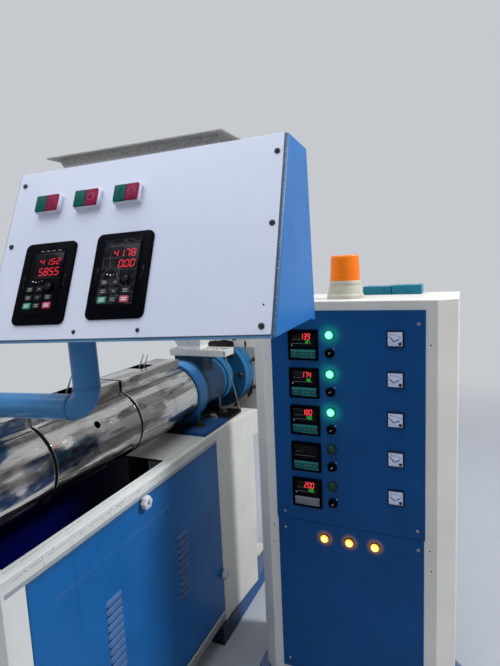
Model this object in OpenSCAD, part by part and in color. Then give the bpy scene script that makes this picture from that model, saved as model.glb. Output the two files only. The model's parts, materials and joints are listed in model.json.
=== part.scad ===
// Single-screw plastic extruder: barrel line on its base, swinging operator
// console and free-standing heater cabinet. Millimetres, +Z up, the barrel
// runs along Y. Origin: floor, middle of the whole line.

/* [Layout] */
// Barrel axis, sideways from the middle of the line
barrel_x = -352; // [-380:1:-320]
// Barrel axis above the floor
barrel_z = 1020; // [900:1:1100]
// Heater cabinet centre, sideways
cab_x = 376.6; // [340:0.1:420]
// Heater cabinet front face
cab_y = -35; // [-80:1:0]

/* [Base frame] */
// Half the width over both side faces
frame_half = 181; // [150:1:230]
// Die end of the frame
frame_y0 = -835; // [-950:1:-750]
// Drive end of the frame
frame_y1 = 445; // [380:1:480]
// Top of the rails above the floor
rail_z = 881; // [800:1:950]
// Square tube of rails and posts
tube = 40; // [30:1:60]
// Post length along the line
post_y = 62; // [40:1:90]
// Top of the bottom rail
sill_z = 130; // [90:1:180]
// Drive end of the side doors
door_y1 = 148; // [120:1:180]
// Side door thickness
door_t = 18; // [10:1:30]
// Gap round a side door
door_gap = 2; // [1:0.5:4]
// Die-end knob, along the line
knob_y0 = -338; // [-500:1:-200]
// Die-end knob above the floor
knob_z0 = 826; // [700:1:830]
// Drive-end knob, in from the door's edge
knob_in = 8; // [4:1:30]
// Drive-end knob above the floor
knob_z1 = 293; // [200:1:400]
// Door knob diameter
knob_d = 42; // [25:1:45]
// Where the drive bay starts to flare outwards
bay_bend = 212; // [180:1:300]
// Outward flare of the drive bay at its end
bay_flare = 19; // [5:1:40]
// Height of the lug at the rail's end
bay_lug = 112; // [60:1:160]
// Drive end of that lug
lug_y1 = 480; // [450:1:500]

/* [Skid] */
// Skid beam height
skid_h = 76; // [50:1:100]
// Skid beam width
skid_w = 60; // [40:1:80]
// Skid overhang outside the side faces
skid_out = 8; // [0:1:40]
// Drive end of the skid beams
skid_y1 = 960; // [800:1:1100]

/* [Barrel] */
// Heater shroud radius
shroud_r = 113.5; // [100:1:140]
// Drive end of the shrouds
shroud_y1 = 144; // [120:1:170]
// Shroud pitch along the barrel
shroud_pitch = 367; // [300:1:450]
// Shroud sheet thickness
shroud_t = 2; // [1:0.5:4]
// Dark gap between two shrouds
shroud_gap = 5; // [3:1:10]
// Radius of the heater bands inside the shrouds
band_r = 92; // [80:1:100]
// Radius of the barrel that stands out at the die end
barrel_r = 50; // [40:1:70]
// Die end flange radius
head_r = 84; // [70:1:110]
// Die end flange thickness
head_t = 32; // [25:1:60]
// Terminal duct width
duct_w = 104; // [80:1:140]
// Terminal duct offset towards the far side
duct_off = 11; // [0:1:30]
// Terminal duct top above the barrel axis
duct_top = 144; // [130:1:170]
// Terminal duct's first edge from the shroud's end
duct_in = 1; // [0:0.5:5]
// Terminal duct length
duct_len = 355; // [300:1:360]
// Terminal opening width
duct_open_w = 63; // [40:1:90]
// Terminal opening length
duct_open_y = 76; // [50:1:120]
// Terminal opening's first edge from the shroud's end
duct_open_y0 = 169; // [140:1:200]
// Terminal opening's far edge, from the barrel axis
duct_open_x = 60; // [40:1:62]
// Sensor hole in the middle shroud
sensor_d = 22; // [12:1:30]
// Angle of the sensor hole above level
sensor_a = 32; // [0:1:60]
// Sensor hole from the shroud's end
sensor_y = 179; // [120:1:240]

/* [Feed section] */
// Front ring radius
ring_r = 122; // [110:1:140]
// Front ring length
ring_len = 77; // [50:1:100]
// Feed cylinder radius
feed_r = 103; // [95:1:105]
// Feed cylinder length
feed_len = 194; // [150:1:240]
// Rear ring radius
ring2_r = 110.5; // [106:0.5:120]
// Rear ring length
ring2_len = 41; // [20:1:60]
// Neck radius
neck_r = 94; // [80:1:105]
// Neck length
neck_len = 48; // [30:1:80]
// Big flange radius
flange_r = 154; // [140:1:180]
// Thickness of each of the two big flanges
flange_t = 42; // [25:1:60]
// height of the flat on top of both big flanges, above the barrel axis
flange_flat = 115; // [100:1:140]
// How far the gearbox's flange stands past the other
rim_step = 2; // [0:0.5:5]
// Foot plate half width
foot_half = 168; // [145:1:181]
// Foot plate thickness
foot_t = 14; // [8:1:25]
// Foot plate start
foot_y0 = 83; // [60:1:110]
// Foot plate end
foot_y1 = 415; // [360:1:430]

/* [Hopper] */
// Rim width, square
rim_w = 722; // [500:1:900]
// Rim height above the floor
rim_z = 1937; // [1700:1:2100]
// Flat lip round the rim
lip_w = 29; // [15:1:50]
// Hopper sheet thickness
hopper_t = 3; // [2:0.5:5]
// Thickness of the flat lip
lip_t = 4; // [2:0.5:8]
// Straight outlet height
outlet_h = 13; // [8:1:40]
// Outlet width across the line
outlet_x = 106; // [80:1:160]
// Outlet width along the line
outlet_y = 73; // [50:1:120]
// Middle of the feed throat along the line
throat_y = 322; // [300:1:350]
// Slide gate size across the line
gate_x = 259; // [200:1:320]
// Slide gate size along the line
gate_y = 88; // [80:1:140]
// Slide gate thickness
gate_t = 28; // [15:1:40]
// How far the gate is pulled out to the operator side
gate_out = 40; // [0:1:80]
// Top of the gate above the floor
gate_z = 1178; // [1150:1:1200]

/* [Gearbox] */
// Half width
housing_half = 180; // [150:1:220]
// Drive end of the gearbox
gear_y1 = 995; // [900:1:1100]
// Underside above the floor
gear_z0 = 820; // [700:1:900]
// Front face top edge above the floor
gear_z1 = 1140; // [1050:1:1200]
// Roof above the floor
gear_z2 = 1240; // [1150:1:1300]
// Pedestal half width
ped_half = 80; // [60:1:120]
// Pedestal length along the line
ped_len = 110; // [80:1:200]
// Pedestal set back behind the gearbox face
ped_in = 27; // [10:1:100]

/* [Console arm] */
// Swivel axis, sideways
arm_x = -513; // [-530:1:-490]
// Swivel axis, along the line
arm_y = -665; // [-700:1:-630]
// Pipe outside diameter
pipe_d = 60.3; // [48:0.1:76]
// Bend radius of the pipe's centre line
bend_r = 48; // [40:1:90]
// Height of the level pipe above the floor, at the swivel
arm_z = 1197; // [1185:1:1220]
// Level pipe from the swivel to the riser
arm_len = 441; // [400:1:500]
// Riser up to the console underside
riser_h = 173; // [150:1:240]
// Swing off square at rest, degrees
arm_yaw = 3.9; // [0:0.1:10]
// Sag of the arm, degrees
arm_sag = 1.5; // [0:0.1:3]
// Swivel post outside diameter
post_d = 76.1; // [70:0.1:90]
// Swivel post height above the rail
post_h = 170; // [120:1:230]
// Foot plate of the swivel post
foot_h = 10; // [6:1:16]
// Depth of the spigot in its post
spigot = 110; // [80:1:140]
// Radial running clearance of the swivel
swivel_gap = 0.05; // [0.01:0.01:0.1]
// Clearance under the thrust collar
collar_gap = 0.3; // [0.1:0.1:1]

/* [Console] */
// White panel width
panel_w = 607.5; // [500:0.5:700]
// White panel height down its slope
panel_h = 384.7; // [300:0.1:450]
// Slope of the panel from upright, degrees
panel_a = 24.7; // [10:0.1:40]
// White panel thickness
panel_t = 2.5; // [1:0.5:5]
// Console depth at the top
box_top = 150; // [100:1:220]
// Blue edge that shows beside and below the panel
box_edge = 6; // [2:0.5:10]
// How far that edge is bent back
box_bend = 8; // [2:0.5:12]
// Riser, from the panel's left edge
riser_x = 118; // [80:1:200]
// Riser, behind the panel's top edge
riser_y = -10; // [-60:1:60]
// Push button width
button_w = 59; // [40:1:70]
// Push button height
button_h = 40; // [30:1:60]
// Push button stand-out
button_t = 15; // [8:1:25]
// Keypad frame width
pad_w = 126; // [90:1:150]
// Keypad frame height
pad_h = 176; // [140:1:200]
// Keypad frame stand-out
pad_t = 4; // [2:0.5:8]
// Keypad window width
pad_win_w = 86; // [60:1:100]
// Keypad window height
pad_win_h = 140; // [120:1:160]

/* [Heater cabinet] */
// Cabinet width
cab_w = 630; // [500:1:800]
// Cabinet depth
cab_d = 350; // [300:1:450]
// Cabinet top above the floor
cab_top = 1396.6; // [1200:0.1:1600]
// Corner chamfer
cab_c = 52; // [30:1:70]
// Plinth height
plinth_h = 80; // [50:1:120]
// Plinth overhang at the front and sides
plinth_out = 22; // [0:1:40]
// Plinth set in from the back
plinth_in = 30; // [0:1:60]
// Blue panel left edge
bp_x0 = 142.3; // [130:0.1:160]
// Blue panel right edge
bp_x1 = 607.4; // [590:0.1:620]
// Top of the upper blue panel, below the cabinet top
bp_drop = 27.6; // [15:0.1:100]
// Split between the two blue panels
bp_split = 680.4; // [600:0.1:750]
// Bottom of the lower blue panel
bp_bottom = 136; // [100:1:180]
// Blue panel thickness
bp_t = 2; // [1:0.5:4]

/* [Instruments] */
// Row pitch
row_pitch = 120.3; // [110:0.1:130]
// Controller size
ctl_w = 96; // [72:1:96]
// Controller left edge
ctl_x = 201; // [190:1:215]
// Controller middle row, top edge below the cabinet top
ctl_drop = 326.1; // [310:0.1:345]
// Controller bezel stand-out
ctl_t = 8; // [4:1:15]
// Ammeter size
amp_w = 48; // [48:1:72]
// Ammeter left edge
amp_x = 500.7; // [480:0.1:520]
// Ammeter middle row, top edge below the cabinet top
amp_drop = 327.1; // [310:0.1:345]
// Ammeter stand-out
amp_t = 6; // [3:1:12]
// Lamp column, sideways
lamp_x = 332; // [320:1:345]
// Green lamp, middle row, below the cabinet top
lamp_drop = 342.8; // [325:0.1:360]
// Lamp lens diameter
lamp_d = 28; // [16:1:34]
// Lamp ring diameter
lamp_ring = 32; // [28:1:38]
// Lamp stand-out
lamp_t = 12; // [6:1:20]
// Selector, middle row, below the cabinet top
sel_drop = 398.6; // [385:0.1:415]
// Selector ring diameter
sel_ring = 30; // [26:1:36]
// Selector knob diameter
sel_d = 23; // [18:1:28]
// Selector shaft radius
shaft_r = 5; // [3:0.5:8]
// Selector ring stand-out
sel_t = 6; // [4:0.5:10]
// Selector turn at rest, degrees
sel_turn = 45; // [0:1:90]
// Amber lamp row below the split
amber_drop = 47.1; // [30:0.1:80]
// Middle amber lamp
amber_x = 382; // [370:1:395]
// Amber lamp pitch
amber_pitch = 79.5; // [60:0.5:90]

/* [Cabinet top] */
// Beacon, sideways
beacon_x = 355; // [320:1:390]
// Beacon, along the line
beacon_y = 90; // [60:1:120]
// Beacon lens diameter
beacon_d = 94; // [70:1:110]
// Beacon lens height
beacon_h = 80; // [60:1:100]
// Beacon base height
beacon_base = 56; // [30:1:80]
// Beacon foot diameter
beacon_foot = 116; // [100:1:130]
// Terminal box left edge
tbox_x0 = 387; // [370:1:400]
// Terminal box right edge
tbox_x1 = 577; // [560:1:600]
// Terminal box front
tbox_y = 215; // [180:1:235]
// Terminal box depth
tbox_d = 80; // [50:1:100]
// Terminal box height
tbox_h = 32; // [20:1:50]

/* [Hidden] */
$fn = 96;
side_x = barrel_x + frame_half;
bay_y0 = door_y1;
leg_in = 62;
end_t = 3;
deck_t = 8;
deck_y0 = -160;
deck_post_x = barrel_x - 5;
deck_post_w = 86;
deck_post_t = 10;
shroud_y0 = shroud_y1 - 3 * shroud_pitch;
band_y0 = shroud_y0 - 2;
ring_y = shroud_y1 + 8;
feed_y = ring_y + ring_len;
ring2_y = feed_y + feed_len;
neck_y = ring2_y + ring2_len;
flange_y = neck_y + neck_len;
gflange_y = flange_y + flange_t;
gear_y0 = gflange_y + flange_t;
head_out = 38;
head_y0 = shroud_y0 - head_out;
bp_top = cab_top - bp_drop;
ctl_z = cab_top - ctl_drop;
amp_z = cab_top - amp_drop;
lamp_z = cab_top - lamp_drop;
sel_z = cab_top - sel_drop;
amber_z = bp_split - amber_drop;
web_drop = 40;
duct_root = 60;
web_t = 22;
web_in = 16;
web_z1 = barrel_z - web_drop;
web_half = [92, 84];
block_out = 14;
collar = 28;
cut = 1;
bend_step = 1.2;
lap = 4;
sleeve_r = shroud_r - shroud_t - 0.3;
pad_step = 1.5;
bp_step = 3;
bp_gap = 0.8;
box_bottom = -panel_h * cos(panel_a) - box_edge;
pad_x = [64, 239];
pad_s = [179, 173];
button_x = [71, 169, 264];
button_s = 70;
rows = [2, 1, 0, -1, -2];

// ---------- helpers ----------

// Box from its low corner and its high corner
module span(a, b) {
    translate(a)
        cube([b[0] - a[0], b[1] - a[1], b[2] - a[2]]);
}

// Cylinder along +Y on the barrel axis, from y0
module on_axis(y0, len, r) {
    translate([barrel_x, y0, barrel_z])
        rotate([-90, 0, 0])
            cylinder(r = r, h = len);
}

// Repeats its children on the far side of the barrel axis
module far_side() {
    translate([barrel_x, 0, 0])
        mirror([1, 0, 0])
            translate([-barrel_x, 0, 0])
                children();
}

// Both sides of the barrel axis
module both_sides() {
    children();
    far_side()
        children();
}

// Places its children at row i of the instrument rows, height z0 in the middle
module on_row(i, z0) {
    translate([0, cab_y - bp_t, z0 + rows[i] * row_pitch])
        children();
}

// Disc that stands out of the blue panel, towards the operator
module panel_disc(d, t) {
    rotate([90, 0, 0])
        cylinder(d = d, h = t);
}

// Console frame: x along the panel, y back, z up, origin at the panel's top left
module console_frame() {
    translate([arm_x, arm_y, arm_z])
        rotate([0, -arm_sag, arm_yaw])
            translate([arm_len - riser_x, -riser_y, riser_h - box_bottom])
                children();
}

// Sloped panel plane, s down the slope: x right, z up the slope, out is -y
module on_slope(x, s) {
    rotate([-panel_a, 0, 0])
        translate([x, 0, -s])
            children();
}

// ---------- base ----------

module base_frame() {
    color("ivory") {
        both_sides() {
            // top rail, sill and end post
            span([side_x - tube, frame_y0, rail_z - tube],
                 [side_x, bay_y0, rail_z]);
            span([side_x - tube, frame_y0, sill_z - tube],
                 [side_x, bay_y0, sill_z]);
            span([side_x - tube, frame_y0, sill_z - tube],
                 [side_x, frame_y0 + post_y, rail_z]);
            // set-back legs
            for (y = [frame_y0, bay_y0 - tube])
                span([side_x - leg_in - tube, y, 0],
                     [side_x - leg_in, y + tube, sill_z]);
            for (y = [frame_y0, bay_y0 - tube])
                span([side_x - leg_in - tube, y, sill_z - tube],
                     [side_x, y + tube, sill_z]);
        }
        // cross members at the die end
        for (z = [sill_z, rail_z])
            span([barrel_x - frame_half, frame_y0, z - tube],
                 [side_x, frame_y0 + tube, z]);
        // head table that carries the feed section
        span([barrel_x - frame_half + tube, bay_y0 - tube, rail_z - tube],
             [side_x - tube, frame_y1, rail_z]);
        // sill across the door's drive end
        span([barrel_x - frame_half, bay_y0 - tube, sill_z - tube],
             [side_x, bay_y0, sill_z]);
    }
}

// Plan of the bay: flush with the door at first, then flared outwards
module bay_plan() {
    polygon([[side_x - tube, bay_y0], [side_x, bay_y0], [side_x, bay_bend],
             [side_x + bay_flare, frame_y1], [side_x - tube, frame_y1]]);
}

module drive_bay() {
    lug_z = rail_z - bay_lug;
    color("ivory") {
        translate([0, 0, skid_h])
            linear_extrude(rail_z - skid_h)
                bay_plan();
        // lug under the rail's end
        translate([0, 0, lug_z])
            linear_extrude(bay_lug)
                polygon([[side_x - tube, frame_y1 - tube],
                         [side_x + bay_flare, frame_y1],
                         [side_x + 2 * bay_flare, lug_y1],
                         [side_x - tube, lug_y1]]);
    }
}

module drive_bay_near() {
    drive_bay();
}

module drive_bay_far() {
    far_side()
        drive_bay();
}

module side_door() {
    color("steelblue")
        span([side_x - door_t, frame_y0 + post_y + door_gap, sill_z],
             [side_x, door_y1 - door_gap, rail_z - tube - door_gap]);
}

module side_door_near() {
    side_door();
}

module side_door_far() {
    far_side()
        side_door();
}

// Two clamping knobs on the door face
module door_knobs() {
    stem_d = 16;
    stem_len = 4;
    grip = 18;
    color("white")
        for (p = [[knob_y0, knob_z0], [door_y1 - knob_in, knob_z1]])
            translate([side_x, p[0], p[1]])
                rotate([0, 90, 0]) {
                    cylinder(d = stem_d, h = stem_len);
                    translate([0, 0, stem_len])
                        cylinder(d = knob_d, h = grip, $fn = 6);
                }
}

module door_knobs_near() {
    door_knobs();
}

module door_knobs_far() {
    far_side()
        door_knobs();
}

module end_panel() {
    color("steelblue")
        span([barrel_x - frame_half + tube + door_gap, frame_y0, sill_z],
             [side_x - tube - door_gap, frame_y0 + end_t, rail_z - tube - door_gap]);
}

// White deck under the barrel with its post and sill
module deck_plate() {
    color("whitesmoke") {
        span([barrel_x - frame_half + tube, deck_y0, rail_z - deck_t],
             [side_x - tube, bay_y0 - tube, rail_z]);
        span([deck_post_x, deck_y0, sill_z],
             [deck_post_x + deck_post_w, deck_y0 + deck_post_t, rail_z - deck_t]);
        span([barrel_x - frame_half + tube, deck_y0, sill_z - tube],
             [side_x - tube, deck_y0 + tube, sill_z]);
    }
}

// Skid beam; its front end stands up to the underside of the sill
module skid() {
    x1 = side_x + skid_out;
    color("steelblue") {
        span([x1 - skid_w, bay_y0 - tube, 0],
             [x1, skid_y1, skid_h]);
        span([x1 - skid_w, bay_y0 - tube, skid_h],
             [side_x, bay_y0, sill_z - tube]);
    }
}

module skid_near() {
    skid();
}

module skid_far() {
    far_side()
        skid();
}

// ---------- barrel ----------

module barrel() {
    color("dimgray") {
        on_axis(head_y0, head_t, head_r);
        on_axis(head_y0, band_y0 - head_y0, barrel_r);
    }
}

// Heater bands with a collar behind every shroud joint
module heater_bands() {
    color("black") {
        on_axis(band_y0, ring_y - band_y0, band_r);
        for (i = [1, 2])
            on_axis(shroud_y0 + i * shroud_pitch - collar / 2, collar, sleeve_r);
        on_axis(band_y0, collar / 2, sleeve_r);
        on_axis(ring_y - collar / 2, collar / 2, sleeve_r);
    }
}

// Terminal duct outline on a shroud that starts at y0
module duct(y0, grow, z1) {
    x0 = barrel_x - duct_off - duct_w / 2 - grow;
    x1 = barrel_x - duct_off + duct_w / 2 + grow;
    span([x0, y0 + duct_in - grow, barrel_z + duct_root],
         [x1, y0 + duct_in + duct_len + grow, barrel_z + z1]);
}

module shroud(i) {
    y0 = shroud_y1 - (i + 1) * shroud_pitch + shroud_gap / 2;
    len = shroud_pitch - shroud_gap;
    color("silver")
        difference() {
            union() {
                on_axis(y0, len, shroud_r);
                duct(y0, 0, duct_top);
            }
            on_axis(y0 - cut, len + 2 * cut, shroud_r - shroud_t);
            duct(y0, -shroud_t, duct_top - shroud_t);
            // opening over the heater terminals
            span([barrel_x - duct_open_x, y0 + duct_open_y0,
                  barrel_z + duct_top - 5 * shroud_t],
                 [barrel_x - duct_open_x + duct_open_w,
                  y0 + duct_open_y0 + duct_open_y, barrel_z + duct_top + cut]);
            if (i == 1)
                translate([barrel_x, y0 + sensor_y, barrel_z])
                    rotate([0, 90 - sensor_a, 0])
                        cylinder(d = sensor_d, h = shroud_r + cut);
        }
}

module shroud_1() {
    shroud(0);
}

module shroud_2() {
    shroud(1);
}

module shroud_3() {
    shroud(2);
}

// ---------- feed section ----------

// Big round flange with a flat on top
module flat_flange(y, r) {
    intersection() {
        on_axis(y, flange_t, r);
        span([barrel_x - 2 * r, y - flange_t, barrel_z - 2 * r],
             [barrel_x + 2 * r, y + 2 * flange_t, barrel_z + flange_flat]);
    }
}

module feed_housing() {
    foot_top = rail_z + foot_t;
    block_half = outlet_x / 2 + block_out;
    web_y0 = ring_y + web_in;
    web_y1 = foot_y1 - 2 * web_t;
    color("royalblue") {
        on_axis(ring_y, ring_len, ring_r);
        on_axis(feed_y, feed_len, feed_r);
        on_axis(ring2_y, ring2_len, ring2_r);
        on_axis(neck_y, neck_len, neck_r);
        flat_flange(flange_y, flange_r);
        // throat block under the slide gate
        span([barrel_x - block_half, throat_y - gate_y / 2, barrel_z],
             [barrel_x + block_half, throat_y + gate_y / 2, gate_z - gate_t]);
        // webs down to the foot plate
        span([barrel_x - web_half[0], web_y0, foot_top],
             [barrel_x + web_half[0], web_y0 + web_t, web_z1]);
        span([barrel_x - web_half[1], web_y1, foot_top],
             [barrel_x + web_half[1], web_y1 + web_t, web_z1]);
        span([barrel_x - web_t / 2, web_y0, foot_top],
             [barrel_x + web_t / 2, web_y1 + web_t, web_z1]);
    }
}

module foot_plate() {
    color("royalblue")
        span([barrel_x - foot_half, foot_y0, rail_z],
             [barrel_x + foot_half, foot_y1, rail_z + foot_t]);
}

module slide_gate() {
    color("whitesmoke")
        span([barrel_x - gate_x / 2 + gate_out, throat_y - gate_y / 2, gate_z - gate_t],
             [barrel_x + gate_x / 2 + gate_out, throat_y + gate_y / 2, gate_z]);
}

// Tapered body of the hopper, from its straight outlet up to the rim
module hopper_body(shrink) {
    hull() {
        translate([barrel_x, throat_y, gate_z + outlet_h - cut])
            linear_extrude(cut)
                square([outlet_x - shrink, outlet_y - shrink], center = true);
        translate([barrel_x, throat_y, rim_z - cut])
            linear_extrude(cut)
                square(rim_w - 2 * lip_w - shrink, center = true);
    }
}

module hopper() {
    wall = 2 * hopper_t;
    color("gainsboro")
        difference() {
            union() {
                hopper_body(0);
                translate([barrel_x, throat_y, gate_z])
                    linear_extrude(outlet_h)
                        square([outlet_x, outlet_y], center = true);
                translate([barrel_x, throat_y, rim_z - lip_t])
                    linear_extrude(lip_t)
                        square(rim_w, center = true);
            }
            hopper_body(wall);
            translate([barrel_x, throat_y, gate_z - cut])
                linear_extrude(outlet_h + 2 * cut)
                    square([outlet_x - wall, outlet_y - wall], center = true);
            translate([barrel_x, throat_y, rim_z - 1.5 * cut])
                linear_extrude(3 * cut)
                    square(rim_w - 2 * lip_w - wall, center = true);
        }
}

// ---------- gearbox ----------

module gearbox_flange() {
    color("royalblue")
        flat_flange(gflange_y, flange_r + rim_step);
}

module gearbox() {
    slope = 60;
    cap_r = 70;
    cap_t = 24;
    band_out = 12;
    band_h = 14;
    color("ivory") {
        translate([barrel_x - housing_half, 0, 0])
            rotate([90, 0, 90])
                linear_extrude(2 * housing_half)
                    polygon([[gear_y0, gear_z0], [gear_y1 - cap_t, gear_z0],
                             [gear_y1 - cap_t, gear_z1],
                             [gear_y1 - cap_t - slope, gear_z2],
                             [gear_y0 + slope, gear_z2], [gear_y0, gear_z1]]);
        // split line band and rear bearing cap
        span([barrel_x - housing_half - band_out, gear_y0 + band_out, barrel_z - band_h],
             [barrel_x + housing_half + band_out, gear_y1 - band_out, barrel_z + band_h]);
        on_axis(gear_y1 - cap_t, cap_t, cap_r);
    }
}

module pedestal() {
    py0 = gear_y0 + ped_in;
    color("ivory") {
        span([barrel_x - ped_half, py0, skid_h],
             [barrel_x + ped_half, py0 + ped_len, gear_z0]);
        span([barrel_x - frame_half - skid_out + skid_w, py0, 0],
             [side_x + skid_out - skid_w, py0 + ped_len, skid_h]);
    }
}

// ---------- console arm ----------

module arm_post() {
    foot = 55;
    color("steelblue")
        difference() {
            union() {
                translate([arm_x, arm_y, rail_z])
                    cylinder(d = post_d, h = post_h);
                span([barrel_x - frame_half, arm_y - foot, rail_z],
                     [arm_x + foot, arm_y + foot, rail_z + foot_h]);
            }
            translate([arm_x, arm_y, rail_z + 2 * foot_h])
                cylinder(r = pipe_d / 2 + swivel_gap, h = post_h);
        }
}

// Pipe bend of a given angle in the XZ plane: it starts at the origin going
// up and turns towards +X. The straights lap over its ends by a weld step.
module bend(angle) {
    translate([bend_r, 0, 0])
        rotate([90, 0, 0])
            mirror([1, 0, 0])
                rotate_extrude(angle = angle)
                    translate([bend_r, 0])
                        circle(d = pipe_d - 2 * bend_step);
}

module arm_pipe() {
    collar_h = 14;
    plate_t = 6;
    plate_w = 100;
    post_top = rail_z + post_h;
    turn = 90 - arm_sag;
    run_x = bend_r * (1 - cos(turn));
    bend_z = arm_z - bend_r * sin(turn) + run_x * tan(arm_sag);
    run_0 = run_x / cos(arm_sag);
    color("steelblue")
        translate([arm_x, arm_y, 0])
            rotate([0, 0, arm_yaw]) {
                // spigot, upright in the post, with its thrust collar
                translate([0, 0, post_top - spigot])
                    cylinder(d = pipe_d, h = bend_z - post_top + spigot + lap);
                translate([0, 0, post_top + collar_gap])
                    cylinder(d = post_d, h = collar_h);
                // bend from the spigot to the level run
                translate([0, 0, bend_z])
                    bend(turn);
                translate([0, 0, arm_z])
                    rotate([0, -arm_sag, 0]) {
                        translate([run_0 - lap, 0, 0])
                            rotate([0, 90, 0])
                                cylinder(d = pipe_d, h = arm_len - bend_r - run_0 + 2 * lap);
                        // bend up to the riser
                        translate([arm_len, 0, bend_r])
                            mirror([0, 0, 1])
                                mirror([1, 0, 0])
                                    bend(90);
                        translate([arm_len, 0, bend_r - lap])
                            cylinder(d = pipe_d, h = riser_h - bend_r - plate_t + lap);
                        translate([arm_len, 0, riser_h - plate_t])
                            linear_extrude(plate_t)
                                square(plate_w, center = true);
                    }
            }
}

// Back of the white panel at height z, towards the box
function front_y(z) = z * tan(panel_a) + panel_t / cos(panel_a);

// Folded sheet box; its front edges are bent back along both ends
module console_box() {
    back_lip = 7;
    lip_y = 110;
    color("steelblue")
        console_frame()
            intersection() {
                translate([-box_edge, 0, 0])
                    rotate([90, 0, 90])
                        linear_extrude(panel_w + 2 * box_edge)
                            polygon([[front_y(0), 0], [box_top, 0],
                                     [box_top, box_bottom - back_lip],
                                     [lip_y, box_bottom],
                                     [front_y(box_bottom), box_bottom]]);
                rotate([-panel_a, 0, 0])
                    translate([0, panel_t, -2 * panel_h])
                        linear_extrude(3 * panel_h)
                            polygon([[0, 0], [panel_w, 0],
                                     [panel_w + box_edge, box_bend],
                                     [panel_w + box_edge, 2 * panel_h],
                                     [-box_edge, 2 * panel_h],
                                     [-box_edge, box_bend]]);
            }
}

module console_panel() {
    color("white")
        console_frame()
            on_slope(0, panel_h)
                cube([panel_w, panel_t, panel_h]);
}

module push_buttons() {
    color("white")
        console_frame()
            for (x = button_x)
                on_slope(x, button_s + button_h)
                    translate([0, -button_t, 0])
                        cube([button_w, button_t, button_h]);
}

// Window of a keypad frame, shrunk by gap, from the panel out to t
module pad_window(gap, t) {
    translate([(pad_w - pad_win_w) / 2 + gap, -t, (pad_h - pad_win_h) / 2 + gap])
        cube([pad_win_w - 2 * gap, t + max(0, t - pad_t), pad_win_h - 2 * gap]);
}

module keypad_frames() {
    color("black")
        console_frame()
            for (i = [0, 1])
                on_slope(pad_x[i], pad_s[i] + pad_h)
                    difference() {
                        translate([0, -pad_t, 0])
                            cube([pad_w, pad_t, pad_h]);
                        pad_window(0, pad_t + cut);
                    }
}

module keypads() {
    color("dimgray")
        console_frame()
            for (i = [0, 1])
                on_slope(pad_x[i], pad_s[i] + pad_h)
                    pad_window(1, pad_t - pad_step);
}

// ---------- cabinet ----------

module cabinet() {
    w = cab_w / 2;
    y1 = cab_y + cab_d;
    color("ivory")
        translate([cab_x, 0, plinth_h])
            linear_extrude(cab_top - plinth_h)
                polygon([[-w, y1], [-w, cab_y + cab_c], [-w + cab_c, cab_y],
                         [w - cab_c, cab_y], [w, cab_y + cab_c], [w, y1]]);
}

// Skirt round the foot, chamfered at all four corners
module plinth() {
    w = cab_w / 2 + plinth_out;
    y0 = cab_y - plinth_out;
    y1 = cab_y + cab_d - plinth_in;
    color("steelblue")
        translate([cab_x, 0, 0])
            linear_extrude(plinth_h)
                polygon([[-w, y1 - cab_c], [-w, y0 + cab_c], [-w + cab_c, y0],
                         [w - cab_c, y0], [w, y0 + cab_c], [w, y1 - cab_c],
                         [w - cab_c, y1], [-w + cab_c, y1]]);
}

module cabinet_panel_upper() {
    color("steelblue")
        span([bp_x0, cab_y - bp_t, bp_split + bp_gap], [bp_x1, cab_y, bp_top]);
}

module cabinet_panel_lower() {
    color("steelblue")
        span([bp_x0 + bp_step, cab_y - bp_t, bp_bottom],
             [bp_x1 - bp_step, cab_y, bp_split - bp_gap]);
}

module controllers() {
    win = 8;
    dip = 2;
    color("black")
        for (i = [0:4])
            on_row(i, ctl_z)
                difference() {
                    translate([ctl_x, -ctl_t, -ctl_w])
                        cube([ctl_w, ctl_t, ctl_w]);
                    translate([ctl_x + win, -ctl_t - cut, win - ctl_w])
                        cube([ctl_w - 2 * win, dip + cut, ctl_w - 2 * win]);
                }
}

module ammeters() {
    rim = 3;
    dip = 2;
    color("dimgray")
        for (i = [0:4])
            on_row(i, amp_z)
                difference() {
                    translate([amp_x, -amp_t, -amp_w])
                        cube([amp_w, amp_t, amp_w]);
                    translate([amp_x + rim, -amp_t - cut, rim - amp_w])
                        cube([amp_w - 2 * rim, dip + cut, amp_w - 2 * rim]);
                }
}

// Pilot lamp: ring and lens
module lamp() {
    panel_disc(lamp_ring, lamp_t / 3);
    panel_disc(lamp_d, lamp_t);
}

module green_lamps() {
    color("lime")
        for (i = [0:4])
            on_row(i, lamp_z)
                translate([lamp_x, 0, 0])
                    lamp();
}

module amber_lamps() {
    color("orange")
        for (i = [-1:1])
            translate([amber_x + i * amber_pitch, cab_y - bp_t, amber_z])
                lamp();
}

// Fixed rings of the selector switches, with the shaft bores
module selector_rings() {
    color("black")
        for (i = [0:4])
            on_row(i, sel_z)
                translate([lamp_x, 0, 0])
                    difference() {
                        panel_disc(sel_ring, sel_t);
                        translate([0, cut, 0])
                            panel_disc(2 * (shaft_r + swivel_gap), sel_t + 2 * cut);
                    }
}

// Selector knob, drawn turned to the upper right
module selector(i) {
    grip_w = 7;
    grip_t = 8;
    disc_t = 6;
    gap = 0.3;
    color("black")
        on_row(i, sel_z)
            translate([lamp_x, 0, 0]) {
                translate([0, -gap, 0])
                    panel_disc(2 * shaft_r, sel_t + disc_t / 2);
                translate([0, -sel_t - gap, 0])
                    panel_disc(sel_d, disc_t);
                rotate([0, sel_turn, 0])
                    translate([-grip_w / 2, -sel_t - gap - disc_t - grip_t,
                               1 - sel_d / 2])
                        cube([grip_w, grip_t + disc_t / 2, sel_d - 2]);
            }
}

module selector_1() {
    selector(0);
}

module selector_2() {
    selector(1);
}

module selector_3() {
    selector(2);
}

module selector_4() {
    selector(3);
}

module selector_5() {
    selector(4);
}

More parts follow.
